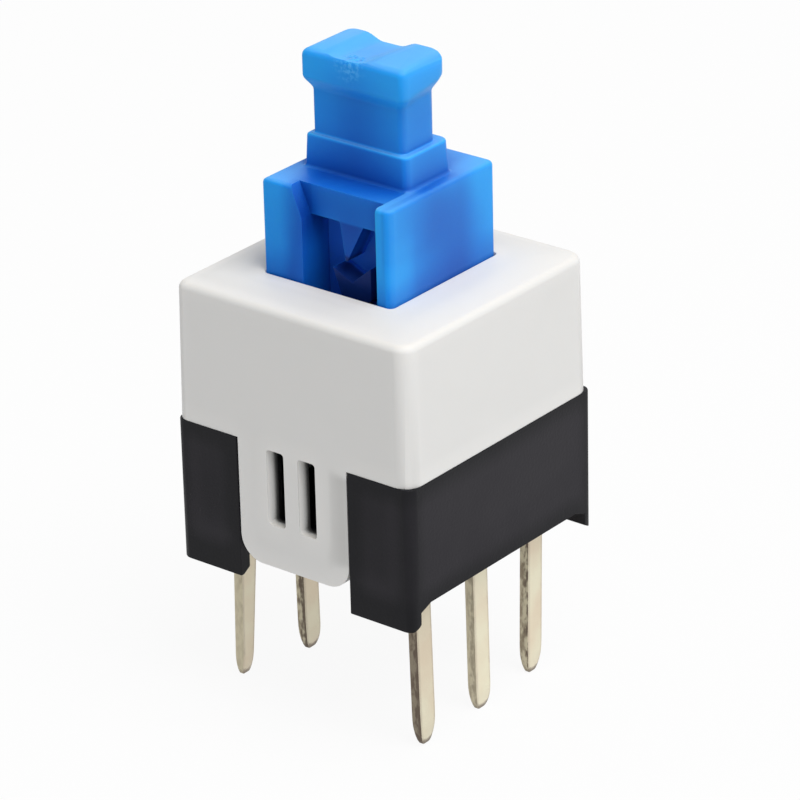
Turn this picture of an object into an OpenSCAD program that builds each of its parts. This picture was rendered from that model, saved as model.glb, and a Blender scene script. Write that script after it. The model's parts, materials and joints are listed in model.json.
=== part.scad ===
// Push-on, push-off board switch: square body, two poles, six flat pins.
// A bent wire runs in a heart-shaped track in the front face of the button and holds it down
// on every other push. Z is up and Z = 0 is the plane of the feet. The front is at -Y, where
// the cover's latch tongue is, and the two rows of pins run along Y.

/* [Body] */
// Side of the square body
body_w = 8; // [7.8:0.1:9]
// Radius of the base's upright corners
base_corner_r = 0.3; // [0.2:0.05:0.5]
// Height of the base, from its feet to the seam
base_h = 4.15; // [3.9:0.05:4.8]
// Thickness of the base's side walls
base_wall = 0.75; // [0.6:0.05:0.8]
// Thickness of the base's floor
floor_t = 0.7; // [0.6:0.05:1]
// Height of the feet, which lift the floor off the board
foot_h = 0.65; // [0.5:0.05:0.8]
// Thickness of a foot where it meets the floor
foot_root_t = 0.8; // [0.6:0.05:1]
// Thickness of a foot over most of its height
foot_t = 0.48; // [0.4:0.02:0.55]
// Thickness of a foot at the board
foot_tip_t = 0.18; // [0.15:0.01:0.3]
// Height of the slopes at the tip and at the root of a foot
foot_slope_h = 0.15; // [0.1:0.01:0.2]

/* [Cover] */
// Height of the cover, from the seam to its top
cover_h = 4; // [3.9:0.05:4.6]
// Thickness of the cover's side walls
cover_wall = 0.7; // [0.6:0.05:0.8]
// Thickness of the cover's top
cover_top_t = 0.8; // [0.6:0.05:1]
// How far each side of the cover leans in by its top
cover_draft = 0.06; // [0:0.01:0.15]
// Step from the base's wall in to the cover's wall
seam_step = 0.03; // [0:0.01:0.1]
// Radius of the cover's upright corners
cover_corner_r = 0.5; // [0.3:0.05:0.7]
// Radius of the cover's top edge
cover_edge_r = 0.22; // [0.1:0.02:0.3]
// Gap between the button and the mouth of the cover
mouth_gap = 0.08; // [0.05:0.01:0.12]

/* [Snap tabs] */
// Width of each snap tab
tab_w = 3.7; // [3.4:0.1:4.2]
// Thickness of each snap tab
tab_t = 0.65; // [0.5:0.05:0.7]
// Height of a tab's lower edge above the board
tab_z = 0.6; // [0.56:0.02:0.7]
// How far a tab's root runs up behind the cover's wall
tab_root = 0.2; // [0.1:0.05:0.4]
// Radius of a tab's lower corners
tab_corner_r = 0.6; // [0.3:0.05:0.8]
// Gap between a tab and the notch that it fills
tab_gap = 0.03; // [0.02:0.01:0.06]
// Width of the hook on the inside of a tab
hook_w = 2.4; // [2:0.1:3]
// Height of the hook
hook_h = 0.32; // [0.25:0.01:0.4]
// Reach of the hook under the floor
hook_reach = 0.35; // [0.25:0.05:0.45]
// Width of the two slots that free the tongue
slot_w = 0.5; // [0.4:0.02:0.6]
// Distance between the slots, centre to centre
slot_pitch = 1.07; // [0.95:0.01:1.2]
// Height of the slots
slot_h = 2.2; // [1.8:0.1:2.4]
// Height of the slots' lower ends above the board
slot_z = 1.85; // [1.6:0.05:2.1]
// Radius in the slots' corners
slot_corner_r = 0.1; // [0.05:0.01:0.2]
// Thickness of the tongue and of the wall beside the slots
tongue_t = 0.36; // [0.3:0.02:0.5]
// Reach of the thin wall beyond the slots
tongue_side = 0.1; // [0.05:0.01:0.2]
// Height above the seam of the rib inside the cover, which keeps the latch wire in its track
rib_rise = 0.3; // [0.1:0.05:0.8]
// Width of the rib
rib_w = 0.9; // [0.8:0.05:1.2]
// Height of the rib
rib_h = 0.88; // [0.6:0.02:1]

/* [Button] */
// Width of the latch block, side to side
block_x = 4.25; // [4:0.05:4.5]
// Width of the latch block, front to back
block_y = 4.5; // [4.3:0.05:4.8]
// Height of the block above the cover at rest
block_h = 2.8; // [2.5:0.05:3.2]
// Radius of the block's upright edges
block_edge_r = 0.15; // [0.05:0.01:0.25]
// Radius of the upright edges at the front of the collar, the neck and the head
stem_front_r = 0.12; // [0.08:0.01:0.2]
// Radius of the upright edges at the back of the collar
collar_back_r = 0.25; // [0.1:0.05:0.4]
// Radius of the upright edges at the back of the neck and the head
stem_back_r = 0.42; // [0.2:0.02:0.5]
// Width of the collar, side to side
collar_x = 3.35; // [3:0.05:3.8]
// Width of the collar, front to back
collar_y = 1.85; // [1.7:0.05:2.2]
// Height of the collar
collar_h = 0.95; // [0.7:0.05:1.2]
// How far each side of the collar leans in by its top
collar_draft = 0.04; // [0:0.01:0.08]
// Width of the neck, side to side
neck_x = 3; // [2.5:0.05:3.1]
// Width of the neck, front to back
neck_y = 1.52; // [1.3:0.02:1.7]
// How far the neck stands forward of the middle of the head
neck_forward = 0.06; // [0:0.01:0.1]
// Width of the small step out at the foot of the neck
neck_foot = 0.12; // [0.05:0.01:0.2]
// Height of the neck below the head
neck_h = 1.52; // [1.2:0.02:1.8]
// Width of the head, side to side
head_x = 3.4; // [3.2:0.05:3.6]
// Width of the head, front to back
head_y = 2; // [1.9:0.05:2.3]
// Height of the head
head_h = 0.88; // [0.7:0.01:1]
// Height of the slope from the neck out to the head
head_slope_h = 0.3; // [0.2:0.02:0.4]
// Radius of the head's top edges
head_top_r = 0.14; // [0.05:0.01:0.2]
// Depth of the groove across the top of the head
groove_d = 0.24; // [0.1:0.02:0.3]
// Width of the groove at its floor
groove_w = 0.8; // [0.5:0.05:1]
// Width of each of the groove's sloping sides
groove_side = 0.4; // [0.2:0.05:0.5]
// How far the groove lies to the left of the middle
groove_left = 0.12; // [0:0.02:0.2]
// Travel of the button from rest to its stop
travel = 2.2; // [1.8:0.1:2.3]
// Gap under the button at the end of its travel
bottom_gap = 0.2; // [0.1:0.05:0.3]
// Reach of the flange beyond the block at the back
flange_back = 0.35; // [0.3:0.05:0.5]
// Thickness of the flange that stops the button under the cover
flange_t = 1.5; // [1.3:0.05:1.6]
// Gap between the flange and the cover at rest
stop_gap = 0.02; // [0.01:0.01:0.05]

/* [Latch] */
// Diameter of the latch wire
wire_d = 0.36; // [0.3:0.02:0.4]
// Sideways place of the wire's pivot
pivot_x = 0.2; // [0.1:0.05:0.3]
// Height of the wire's pivot above the board
pivot_z = 1.95; // [1.9:0.05:2.1]
// Gap between the wire's upper hook and the underside of the cover's top
wire_top_gap = 0.12; // [0.08:0.01:0.2]
// How far the upper hook swings sideways over the whole travel
wire_swing = 0.79; // [0.7:0.01:0.82]
// Radius of the wire's two bends, at its centre line
wire_bend_r = 0.3; // [0.24:0.02:0.36]
// Gap between the wire and what it runs in or beside
wire_gap = 0.05; // [0.03:0.01:0.07]
// Gap between the button's front face and the wire
wire_front_gap = 0.12; // [0.1:0.01:0.2]
// Width of the latch track
track_w = 2.48; // [2.4:0.02:2.6]
// Depth of the latch track below the button's front face
track_deep = 1.1; // [1:0.05:1.2]
// Depth at which the island, the wedge and the lintel lie
track_shallow = 0.4; // [0.3:0.02:0.5]
// Height of the track's lintel, up to the top of the block
lintel_h = 0.85; // [0.7:0.05:1]
// Room in the track below the hook at rest
track_low_room = 0.45; // [0.3:0.05:0.6]
// How far the track's mouth flares to the left at the top of the block
mouth_flare = 0.35; // [0:0.05:0.5]
// Length of the wedge below the lintel
wedge_h = 1.07; // [0.9:0.01:1.2]
// Width of the wedge where it leaves the lintel
wedge_w = 0.78; // [0.6:0.02:0.9]
// Distance of the wedge from the track's left side
wedge_x = 0.97; // [0.9:0.01:1.1]
// Width of the wedge's tip
wedge_tip_w = 0.06; // [0.04:0.01:0.1]
// Lean of the wedge's left side over its length
wedge_lean = 0.16; // [0.1:0.01:0.2]
// Width of the lane to the right of the island, which the hook comes back down
return_lane_w = 0.52; // [0.46:0.02:0.6]
// Height of the island's lower point above the hook at rest
island_point_rise = 0.4; // [0.3:0.05:0.5]
// Height of the island's resting notch above the hook at rest
notch_rise = 1.4; // [1.3:0.02:1.5]
// Height of the island's left horn above the hook at rest
left_horn_rise = 1.69; // [1.6:0.01:1.75]
// Height of the island's right horn above the hook at rest
right_horn_rise = 1.93; // [1.85:0.01:2]
// Height of the slope from the island's point up to its right side
island_slope_h = 0.65; // [0.5:0.05:0.8]
// Width of the post that holds the wire's lower hook
post_w = 1; // [0.8:0.05:1.1]
// Height of the post above the pivot
post_over = 0.6; // [0.45:0.05:0.65]
// Gap between the post and the button that comes down over it
post_room = 0.15; // [0.1:0.01:0.2]

/* [Contacts and pins] */
// Distance between the two rows of pins
row_pitch = 6; // [5.8:0.1:6.2]
// Distance between pins in a row
pin_pitch = 2.5; // [2.4:0.05:2.6]
// Thickness of the terminal strip
strip_t = 0.3; // [0.25:0.05:0.35]
// Width of a pin
pin_w = 0.65; // [0.5:0.05:0.75]
// Reach of the pins below the feet
pin_drop = 4.2; // [3:0.1:4.5]
// Length of the rounded taper at a pin's tip
pin_taper = 0.95; // [0.6:0.05:1.2]
// Width of a pin's tip
pin_tip_w = 0.2; // [0.1:0.05:0.3]
// Width of a terminal's blade, whose lower edge is the shoulder that sits on the floor
blade_w = 0.95; // [0.8:0.05:1.1]
// Gap between a terminal and the plastic round it
terminal_gap = 0.02; // [0.01:0.01:0.04]
// Length of the slanted corners at the top of a blade
blade_lead = 0.2; // [0.1:0.05:0.3]
// Height of the common and closed blades above the dimples at rest
blade_over = 0.8; // [0.6:0.05:0.9]
// Distance of the open blades below the dimples at rest
open_below = 0.7; // [0.5:0.05:0.9]
// Height above the board of the moving contacts' dimples at rest
dimple_z = 4.95; // [4.85:0.05:5.05]
// Radius of the dimples
dimple_r = 0.25; // [0.22:0.01:0.3]
// Reach of a dimple beyond its strip
dimple_reach = 0.2; // [0.15:0.01:0.22]
// Gap between a dimple and its blade
contact_gap = 0.03; // [0.02:0.01:0.05]
// Thickness of the moving contacts' strip
leaf_t = 0.12; // [0.08:0.01:0.15]
// Width of each finger of a moving contact
finger_w = 0.7; // [0.6:0.05:0.9]
// Length of a finger below its dimple
finger_tip = 0.15; // [0.1:0.01:0.2]
// Height of the bar that joins the fingers
comb_bar_h = 0.85; // [0.75:0.05:1]
// Height of the bar above the flange's lower edge
comb_bar_rise = 0.15; // [0.1:0.05:0.3]
// Radius of the pegs that stake a moving contact to the flange
peg_r = 0.22; // [0.18:0.01:0.25]
// Distance between the two pegs of a moving contact
peg_pitch = 2.8; // [2.4:0.1:3]
// Height of a peg's head beyond the strip
peg_head = 0.08; // [0.05:0.01:0.1]
// Gap between a peg and its hole
peg_gap = 0.02; // [0.01:0.01:0.03]
// Room above and below the travelling dimple in a closed blade's window
window_room = 0.1; // [0.08:0.01:0.15]
// Room on each side of the dimple in the window
window_side = 0.05; // [0.03:0.01:0.1]
// Height of the blade that a dimple rests on above the window
window_land = 0.45; // [0.3:0.05:0.5]

/* [Return spring] */
// Diameter of the spring's wire
spring_wire_d = 0.28; // [0.22:0.02:0.32]
// Diameter of the coil, at its centre line
spring_d = 1.9; // [1.8:0.05:2]
// Number of turns
spring_turns = 8; // [6:1:9]
// Gap between the closed turns at the ends of the coil
closed_gap = 0.014; // [0.01:0.002:0.02]
// Distance of the spring behind the middle of the body
spring_y = 0.55; // [0.5:0.01:0.6]
// Gap between the coil and the bore or boss beside it
spring_gap = 0.11; // [0.08:0.01:0.14]
// Height of the boss that holds the lower end of the coil
boss_h = 0.8; // [0.6:0.05:1]
// Solid height of the block above the coil's bore
bore_roof_t = 3.05; // [2.8:0.05:3.3]

/* [Hidden] */
$fn = 48;
eps = 0.01;
LEFT = -1;
RIGHT = 1;

// Heights
floor_z = foot_h + floor_t;
seam_z = base_h;
cover_z = seam_z + cover_h;
ceiling_z = cover_z - cover_top_t;
block_z = cover_z + block_h;
collar_z = block_z + collar_h;
head_z = collar_z + neck_h;
top_z = head_z + head_h;
button_z = floor_z + travel + bottom_gap;
flange_z = ceiling_z - stop_gap;
flange_low_z = flange_z - flange_t;

// Plan sizes
inner_half = body_w / 2 - base_wall;
cover_inner_half = body_w / 2 - seam_step - cover_wall;
mouth_x = block_x + 2 * mouth_gap;
mouth_y = block_y + 2 * mouth_gap;
block_front = -block_y / 2;
tab_inner = body_w / 2 - tab_t;

// Latch: the wire's front plane, the track and the lane that the hook follows
wire_r = wire_d / 2;
wire_y = block_front - wire_front_gap - wire_r;
rest_z = ceiling_z - wire_top_gap - wire_r;
wire_arm = rest_z - pivot_z;
swing_angle = asin(wire_swing / wire_arm);
lane_gap = wire_r + wire_gap;
track_left = pivot_x - wire_swing - lane_gap;
track_right = track_left + track_w;
track_low_z = rest_z - track_low_room;
lintel_z = block_z - lintel_h;
lane_slope = wire_swing / (travel - wire_arm * (1 - cos(swing_angle)));
post_z = pivot_z + post_over;
post_back = block_front + track_deep - post_room;
hook_y = post_back - wire_gap;

// Terminals and moving contacts
blade_x = row_pitch / 2 - strip_t / 2;
leaf_x = blade_x - contact_gap - dimple_reach - leaf_t;
common_top_z = dimple_z + blade_over;
open_top_z = dimple_z - open_below;
window_low_z = dimple_z - travel - dimple_r - window_room;
window_high_z = dimple_z - dimple_r - window_land;
comb_bar_z = flange_low_z + comb_bar_rise;
comb_w = 2 * pin_pitch + finger_w;
peg_y = peg_pitch / 2;
finger_low_z = dimple_z - dimple_r - finger_tip;

// Return spring
spring_top_z = block_z - bore_roof_t;

BLACK = [0.17, 0.17, 0.18];
WHITE = [0.87, 0.87, 0.86];
BLUE = [0.1, 0.45, 0.9];
TINNED = [0.86, 0.81, 0.68];
STEEL = [0.7, 0.71, 0.73];
BRONZE = [0.8, 0.6, 0.35];

// A rectangle with round corners, centred
module round_rect(x, y, r) {
    square([x - 2 * r, y], center = true);
    square([x, y - 2 * r], center = true);
    for (sx = [-1, 1], sy = [-1, 1])
        translate([sx * (x / 2 - r), sy * (y / 2 - r)]) circle(r);
}

// An upright bar with round edges, standing at height z
module round_bar(x, y, r, z, h) {
    translate([0, 0, z]) linear_extrude(h) round_rect(x, y, r);
}

// A box given by its low corner and its high corner
module span(low, high) {
    translate(low) cube([for (i = [0:2]) high[i] - low[i]]);
}

// An outline drawn in X and Z, pushed back from the plane y for a depth
module from_front(y, depth) {
    translate([0, y + depth, 0]) rotate([90, 0, 0]) linear_extrude(depth) children();
}

// ---------------------------------------------------------------- base

module foot_profile() {
    half = body_w / 2;
    polygon([[half, 0], [half, foot_h + eps], [half - foot_root_t, foot_h + eps],
        [half - foot_root_t, foot_h], [half - foot_t, foot_h - foot_slope_h],
        [half - foot_t, foot_slope_h], [half - foot_tip_t, 0]]);
}

// One foot rail along the front or the back edge
module foot_rail(side) {
    intersection() {
        scale([1, side, 1]) rotate([90, 0, 90])
            translate([0, 0, -body_w / 2]) linear_extrude(body_w) foot_profile();
        round_bar(body_w, body_w, base_corner_r, 0, foot_h + eps);
    }
}

module latch_post() {
    span([pivot_x - post_w / 2, wire_y + wire_r + wire_gap, foot_h + eps],
        [pivot_x + post_w / 2, post_back, post_z]);
}

module base() {
    color(BLACK) difference() {
        union() {
            difference() {
                union() {
                    round_bar(body_w, body_w, base_corner_r, foot_h, seam_z - foot_h);
                    for (side = [-1, 1]) foot_rail(side);
                }
                span([-inner_half, -tab_inner, floor_z], [inner_half, tab_inner, seam_z + eps]);
                for (side = [-1, 1]) scale([1, side, 1]) {
                    span([-tab_w / 2 - tab_gap, tab_inner - tab_gap, -eps],
                        [tab_w / 2 + tab_gap, body_w / 2 + eps, seam_z + eps]);
                    span([-hook_w / 2 - tab_gap, tab_inner - hook_reach - tab_gap, -eps],
                        [hook_w / 2 + tab_gap, tab_inner, tab_z + hook_h + tab_gap]);
                }
            }
            latch_post();
            translate([0, spring_y, foot_h + eps])
                cylinder(r = spring_d / 2 - spring_wire_d / 2 - spring_gap, h = floor_t + boss_h);
        }
        translate([pivot_x, post_back + eps, pivot_z]) rotate([90, 0, 0])
            cylinder(r = wire_r + wire_gap, h = post_back - wire_y);
        terminal_rooms();
    }
}

// The slots through the floor that the pins pass, and the room for the blades beside the walls
module terminal_rooms() {
    x = strip_t / 2 + terminal_gap;
    pin_y = pin_w / 2 + terminal_gap;
    blade_y = blade_w / 2 + terminal_gap;
    for (side = [LEFT, RIGHT], place = [-1, 0, 1])
        translate([side * row_pitch / 2, place * pin_pitch, 0]) {
            span([-x, -pin_y, 0], [x, pin_y, floor_z + eps]);
            span([-x, -blade_y, floor_z], [x, blade_y, common_top_z + terminal_gap]);
        }
}

// --------------------------------------------------------------- cover

// Outside of the cover, leaning in and rounded off at the top edge
module cover_outside() {
    steps = 5;
    wide = body_w - 2 * seam_step;
    hull() {
        round_bar(wide, wide, cover_corner_r, seam_z, eps);
        for (k = [0:steps]) {
            a = 90 * k / steps;
            inset = cover_draft + cover_edge_r * (1 - cos(a));
            z = cover_z - cover_edge_r * (1 - sin(a));
            round_bar(wide - 2 * inset, wide - 2 * inset, cover_corner_r - inset / 2, z - eps, eps);
        }
    }
}

module tab_profile() {
    difference() {
        translate([-tab_w / 2, tab_z]) square([tab_w, seam_z + tab_root - tab_z]);
        for (side = [-1, 1]) scale([side, 1]) difference() {
            translate([tab_w / 2 - tab_corner_r, tab_z - eps])
                square([tab_corner_r + eps, tab_corner_r + eps]);
            translate([tab_w / 2 - tab_corner_r, tab_z + tab_corner_r]) circle(tab_corner_r);
        }
    }
}

module slot_profile() {
    translate([0, slot_z + slot_h / 2]) round_rect(slot_w, slot_h, slot_corner_r);
}

// One snap tab, with its hook under the floor
module snap_tab() {
    outer = body_w / 2 - seam_step;
    from_front(tab_inner, outer - tab_inner) tab_profile();
    span([-hook_w / 2, tab_inner - hook_reach, tab_z], [hook_w / 2, outer - eps, tab_z + hook_h]);
}

module cover_shell() {
    difference() {
        cover_outside();
        span([-cover_inner_half, -cover_inner_half, seam_z - eps],
            [cover_inner_half, cover_inner_half, ceiling_z]);
        span([-mouth_x / 2, -mouth_y / 2, seam_z], [mouth_x / 2, mouth_y / 2, cover_z + eps]);
    }
}

// Hollow behind the slots, which leaves the tongue thin enough to spring
module tongue_hollow() {
    half = slot_pitch / 2 + slot_w / 2 + tongue_side;
    span([-half, seam_step + tongue_t - body_w / 2, slot_z - tongue_side],
        [half, -cover_inner_half + eps, slot_z + slot_h + tongue_side]);
}

module cover() {
    rib_z = seam_z + rib_rise;
    color(WHITE) difference() {
        union() {
            difference() {
                union() {
                    cover_shell();
                    snap_tab();
                    scale([1, -1, 1]) snap_tab();
                }
                tongue_hollow();
            }
            span([-rib_w / 2, -cover_inner_half - eps, rib_z],
                [rib_w / 2, wire_y - wire_r - wire_gap, rib_z + rib_h]);
        }
        for (side = [-1, 1]) translate([side * slot_pitch / 2, 0, 0])
            from_front(-body_w / 2 - eps, tab_t + 2 * eps) slot_profile();
        terminal_rooms();
    }
}

// -------------------------------------------------------------- button

// Edge of the island beside the lane, at height z
function lane_edge(z) =
    pivot_x + lane_gap / cos(atan(lane_slope)) - lane_slope * (z - rest_z);

// The heart-shaped island that the wire's hook runs round, with its resting notch on top
module island_profile() {
    point_z = rest_z + island_point_rise;
    left_horn_z = rest_z + left_horn_rise;
    right = track_right - return_lane_w;
    left = lane_edge(left_horn_z) + wire_gap;
    polygon([
        [lane_edge(point_z) + wire_gap, point_z],
        [left, left_horn_z],
        [(left + right) / 2, rest_z + notch_rise],
        [right, rest_z + right_horn_rise],
        [right, point_z + island_slope_h],
        [lane_edge(point_z) + wire_r, point_z]
    ]);
}

// The wedge above the notch, which turns the hook aside on the second push
module wedge_profile() {
    left = track_left + wedge_x;
    polygon([
        [left, lintel_z + eps],
        [left + wedge_lean, lintel_z - wedge_h],
        [left + wedge_lean + wedge_tip_w, lintel_z - wedge_h],
        [left + wedge_w, lintel_z + eps]
    ]);
}

module track() {
    from_front(block_front - eps, track_shallow + eps)
        polygon([[track_left, track_low_z], [track_right, track_low_z], [track_right, block_z + eps],
            [track_left - mouth_flare, block_z + eps], [track_left, lintel_z]]);
    from_front(block_front, track_deep) difference() {
        translate([track_left, track_low_z])
            square([track_right - track_left, lintel_z - track_low_z]);
        island_profile();
        wedge_profile();
    }
}

// Slot in the button's skirt that passes down over the post
module post_slot() {
    span([pivot_x - post_w / 2 - post_room, block_front - eps, button_z - eps],
        [pivot_x + post_w / 2 + post_room, post_back + post_room, post_z + travel + post_room]);
}

module flange() {
    span([-leaf_x, block_front, flange_low_z], [leaf_x, block_y / 2 + flange_back, flange_z]);
    for (side = [LEFT, RIGHT], y = [-peg_y, peg_y])
        translate([side * (leaf_x - eps), y, comb_bar_z + comb_bar_h / 2]) rotate([0, side * 90, 0])
            cylinder(r = peg_r, h = leaf_t + peg_head + eps);
}

// An upright bar of the stem, with its own edge radii at the front and at the back
module stem_bar(x, y, back_r, z, h) {
    flats = 5;
    function arc(side_x, side_y, r, start) = [for (k = [0:flats]) let (a = start + 90 * k / flats)
        [side_x * (x / 2 - r) + r * cos(a), side_y * (y / 2 - r) + r * sin(a)]];
    translate([0, 0, z]) linear_extrude(h) polygon(concat(
        arc(RIGHT, 1, back_r, 0), arc(LEFT, 1, back_r, 90),
        arc(LEFT, -1, stem_front_r, 180), arc(RIGHT, -1, stem_front_r, 270)));
}

module collar() {
    lean = 2 * collar_draft;
    hull() {
        stem_bar(collar_x + lean, collar_y + lean, collar_back_r, block_z - 2 * eps, eps);
        stem_bar(collar_x, collar_y, collar_back_r, collar_z - eps, eps);
    }
}

// The neck, from inside the collar up into the head, with the step at its foot
module neck() {
    inside = 2 * eps;
    translate([0, -neck_forward, 0]) {
        stem_bar(neck_x, neck_y, stem_back_r, collar_z - collar_h / 2, collar_h / 2 + neck_h);
        hull() {
            stem_bar(neck_x + 2 * neck_foot, neck_y + neck_foot, stem_back_r, collar_z - inside, eps);
            stem_bar(neck_x - inside, neck_y - inside, stem_back_r, collar_z + neck_foot, eps);
        }
    }
}

// The head, sloping out of the neck, rounded at its top edges, with a shallow groove across its top
module head() {
    inside = 2 * eps;
    difference() {
        hull() {
            translate([0, -neck_forward, 0])
                stem_bar(neck_x - inside, neck_y - inside, stem_back_r, head_z - head_slope_h, eps);
            stem_bar(head_x, head_y, stem_back_r, head_z, eps);
            for (a = [0:30:90]) {
                inset = 2 * head_top_r * (1 - cos(a));
                stem_bar(head_x - inset, head_y - inset, stem_back_r, top_z - head_top_r * (1 - sin(a)) - eps, eps);
            }
        }
        translate([-groove_left, 0, 0]) from_front(-head_y / 2 - eps, head_y + 2 * eps) groove_profile();
    }
}

module groove_profile() {
    floor_half = groove_w / 2;
    rim_half = floor_half + groove_side;
    over = groove_side * eps / groove_d;
    polygon([[-floor_half, top_z - groove_d], [floor_half, top_z - groove_d],
        [rim_half + over, top_z + eps], [-rim_half - over, top_z + eps]]);
}

module button() {
    color(BLUE) difference() {
        union() {
            round_bar(block_x, block_y, block_edge_r, button_z, block_z - button_z);
            flange();
            collar();
            neck();
            head();
        }
        track();
        post_slot();
        translate([0, spring_y, button_z - eps])
            cylinder(r = spring_d / 2 + spring_wire_d / 2 + spring_gap, h = spring_top_z - button_z + eps);
    }
}

// ------------------------------------------------------- return spring

module return_spring() {
    sides = 8;
    per_turn = 20;
    rings = spring_turns * per_turn;
    r = spring_wire_d / 2;
    low = floor_z + r;
    rise = spring_top_z - floor_z - spring_wire_d;
    closed = spring_wire_d + closed_gap;
    // Height of the wire's centre: one closed turn at each end, an even pitch between
    function lift(t) = t < 1 ? closed * t
        : t > spring_turns - 1 ? rise - closed * (spring_turns - t)
        : closed + (rise - 2 * closed) * (t - 1) / (spring_turns - 2);
    points = [for (i = [0:rings], k = [0:sides - 1])
        let (t = i / per_turn, a = 360 * t, b = 360 * k / sides, d = spring_d / 2 + r * cos(b))
        [d * cos(a), spring_y + d * sin(a), low + lift(t) + r * sin(b)]];
    walls = [for (i = [0:rings - 1], k = [0:sides - 1])
        let (n = (k + 1) % sides)
        [i * sides + k, i * sides + n, (i + 1) * sides + n, (i + 1) * sides + k]];
    ends = [[for (k = [sides - 1:-1:0]) k], [for (k = [0:sides - 1]) rings * sides + k]];
    color(STEEL) polyhedron(points, concat(walls, ends));
}

// ---------------------------------------------------------- latch wire

// A quarter bend of wire from upright to pointing back
module wire_elbow() {
    rotate([90, 0, 90]) rotate_extrude(angle = 90)
        translate([wire_bend_r, 0]) circle(wire_r);
}

module latch_wire() {
    reach = hook_y - wire_y - wire_bend_r;
    color(STEEL) translate([pivot_x, wire_y, pivot_z]) {
        translate([0, 0, wire_bend_r]) cylinder(r = wire_r, h = wire_arm - 2 * wire_bend_r);
        translate([0, wire_bend_r, wire_arm - wire_bend_r]) scale([1, -1, 1]) wire_elbow();
        translate([0, wire_bend_r, wire_bend_r]) scale([1, -1, -1]) wire_elbow();
        for (z = [0, wire_arm]) translate([0, wire_bend_r, z]) rotate([-90, 0, 0])
            cylinder(r = wire_r, h = reach);
    }
}

// ----------------------------------------------------- moving contacts

// A comb of three sprung fingers, staked to the flange, with a dimple on each finger
module moving_contact(side) {
    color(BRONZE) scale([side, 1, 1]) difference() {
        union() {
            span([leaf_x, -comb_w / 2, comb_bar_z], [leaf_x + leaf_t, comb_w / 2, comb_bar_z + comb_bar_h]);
            for (place = [-1, 0, 1]) {
                y = place * pin_pitch;
                span([leaf_x, y - finger_w / 2, finger_low_z], [leaf_x + leaf_t, y + finger_w / 2, comb_bar_z + eps]);
                intersection() {
                    translate([leaf_x + leaf_t + dimple_reach - dimple_r, y, dimple_z]) sphere(dimple_r);
                    span([leaf_x, y - finger_w, finger_low_z],
                        [leaf_x + leaf_t + dimple_reach + eps, y + finger_w, comb_bar_z]);
                }
            }
        }
        for (y = [-peg_y, peg_y])
            translate([leaf_x - eps, y, comb_bar_z + comb_bar_h / 2]) rotate([0, 90, 0])
                cylinder(r = peg_r + peg_gap, h = leaf_t + 2 * eps);
    }
}

// ----------------------------------------------------------- terminals

// Pin with a bullet-shaped tip
module pin_profile() {
    steps = 5;
    narrow = (pin_w - pin_tip_w) / 2;
    function tip(side, k) = [side * (pin_tip_w / 2 + narrow * sin(90 * k / steps)),
        pin_taper * (1 - cos(90 * k / steps)) - pin_drop];
    polygon(concat([[-pin_w / 2, floor_z + eps]], [for (k = [steps:-1:0]) tip(LEFT, k)],
        [for (k = [0:steps]) tip(RIGHT, k)], [[pin_w / 2, floor_z + eps]]));
}

// Blade above the floor, with slanted corners at its top
module blade_profile(top_z) {
    half = blade_w / 2;
    polygon([[-half, floor_z], [half, floor_z], [half, top_z - blade_lead], [half - blade_lead, top_z],
        [blade_lead - half, top_z], [-half, top_z - blade_lead]]);
}

module window_profile() {
    translate([-dimple_r - window_side, window_low_z])
        square([2 * (dimple_r + window_side), window_high_z - window_low_z]);
}

// A stamped terminal: pin, shoulder on the floor and contact blade
module terminal(side, y, top_z, window) {
    color(TINNED) translate([side * row_pitch / 2, y, 0]) rotate([90, 0, 90])
        translate([0, 0, -strip_t / 2]) linear_extrude(strip_t) {
            pin_profile();
            difference() {
                blade_profile(top_z);
                if (window) window_profile();
            }
        }
}

module common_terminal(side) {
    terminal(side, 0, common_top_z, false);
}

module closed_terminal(side) {
    terminal(side, -pin_pitch, common_top_z, true);
}

module open_terminal(side) {
    terminal(side, pin_pitch, open_top_z, false);
}

base();
cover();
button();
return_spring();
latch_wire();
moving_contact(LEFT);  // moving_contact_left
moving_contact(RIGHT);  // moving_contact_right
common_terminal(LEFT);  // common_terminal_left
common_terminal(RIGHT);  // common_terminal_right
closed_terminal(LEFT);  // closed_terminal_left
closed_terminal(RIGHT);  // closed_terminal_right
open_terminal(LEFT);  // open_terminal_left
open_terminal(RIGHT);  // open_terminal_right
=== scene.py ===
"""Looks of the latching push button switch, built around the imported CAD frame.

The base, the cover, the button, the six terminals and the return spring are modelled here and stand for
their CAD nodes. The latch wire and the two moving contacts keep their CAD meshes and get materials.
"""

import json
import logging
from dataclasses import dataclass, field
from enum import Enum
from math import cos, pi, radians, sin
from typing import Callable, Iterable, Optional, Sequence, Union

import bmesh
import bpy
from mathutils import Euler, Matrix, Vector, noise

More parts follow.
